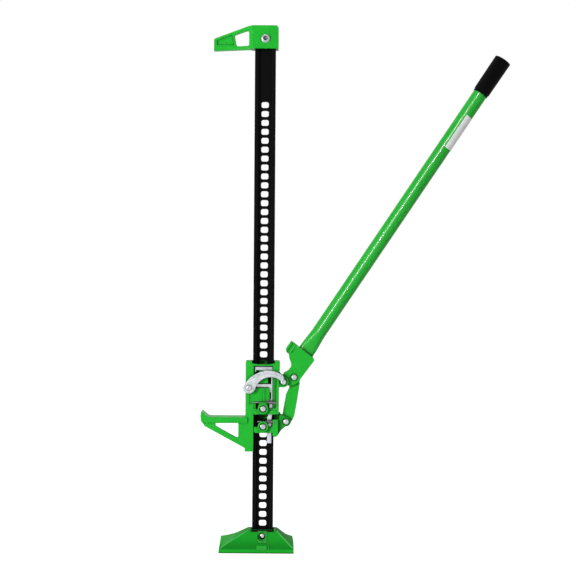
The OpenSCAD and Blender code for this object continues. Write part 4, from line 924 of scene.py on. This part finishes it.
# Floor and world: white to the camera and to mirrors, dimmer as light on the jack
studio = {"floorSize": 12, "floorColor": (0.86, 0.86, 0.86, 1), "floorRoughness": 0.9, "floorGlow": 0.8,
          "white": (1, 1, 1, 1), "asLight": 0.2, "asSeen": 1.0}
mesh = bmesh.new()
bmesh.ops.create_grid(mesh, x_segments=1, y_segments=1, size=studio["floorSize"])
floorData = bpy.data.meshes.new("floor")
mesh.to_mesh(floorData)
mesh.free()
floor = bpy.data.objects.new("floor", floorData)
bpy.context.scene.collection.objects.link(floor)
floorMat = bpy.data.materials.new("floorPaper")
floorMat.use_nodes = True
tree = floorMat.node_tree
shader = tree.nodes["Principled BSDF"].inputs
shader["Base Color"].default_value = studio["floorColor"]
shader["Roughness"].default_value = studio["floorRoughness"]
shader["Emission Color"].default_value = studio["white"]
rays = tree.nodes.new("ShaderNodeLightPath").outputs
seen = calc(tree, "MAXIMUM", rays["Is Camera Ray"], rays["Is Glossy Ray"])
link(tree, times(tree, seen, studio["floorGlow"]), shader["Emission Strength"])
floorData.materials.append(floorMat)

world = bpy.data.worlds.new("studio")
bpy.context.scene.world = world
world.use_nodes = True
tree = world.node_tree
background = tree.nodes["Background"].inputs
background["Color"].default_value = studio["white"]
rays = tree.nodes.new("ShaderNodeLightPath").outputs
seen = calc(tree, "MAXIMUM", rays["Is Camera Ray"],
            calc(tree, "MAXIMUM", rays["Is Glossy Ray"], rays["Is Transmission Ray"]))
link(tree, spread(tree, seen, 0, 1, studio["asLight"], studio["asSeen"]), background["Strength"])

# Lamps: place, width, height, power
lamps = {
    "keyLamp": ((-2.1, -2.5, 0.9), 1.0, 1.0, 74),
    "fillLamp": ((1.9, -2.4, 0.9), 1.6, 1.6, 4),
    "topLamp": ((-0.4, 0.1, 3.0), 1.2, 1.2, 8),
    "rimLamp": ((1.2, 2.2, 1.8), 1.2, 1.2, 10),
    "stripLamp": ((-0.7, -2.65, 1.78), 0.07, 1.6, 380),
}
lampAims = {"stripLamp": (0.3, 0, 0.75), "others": (0.05, 0, 0.55)}
for name, (place, wide, high, power) in lamps.items():
    lamp = bpy.data.lights.new(name, "AREA")
    lamp.shape = "RECTANGLE"
    lamp.size = wide
    lamp.size_y = high
    lamp.energy = power
    lampObject = bpy.data.objects.new(name, lamp)
    bpy.context.scene.collection.objects.link(lampObject)
    lampObject.location = place
    back = Vector(place) - Vector(lampAims.get(name, lampAims["others"]))
    if name == "stripLamp":
        # its long side lies along the handle
        along = Vector((math.cos(math.radians(seat["angle"])), 0, math.sin(math.radians(seat["angle"]))))
        back = (back - along * back.dot(along)).normalized()
        lampObject.rotation_euler = Matrix((along.cross(back), along, back)).transposed().to_euler()
        # it stands for the softbox edge that the tube mirrors, and lights nothing else
        streak = bpy.data.collections.new("streakReceivers")
        streak.objects.link(tubeWall)
        lampObject.light_linking.receiver_collection = streak
        lampObject.visible_diffuse = False
    else:
        lampObject.rotation_euler = (-back).to_track_quat("-Z", "Y").to_euler()
print("stage and lights set")
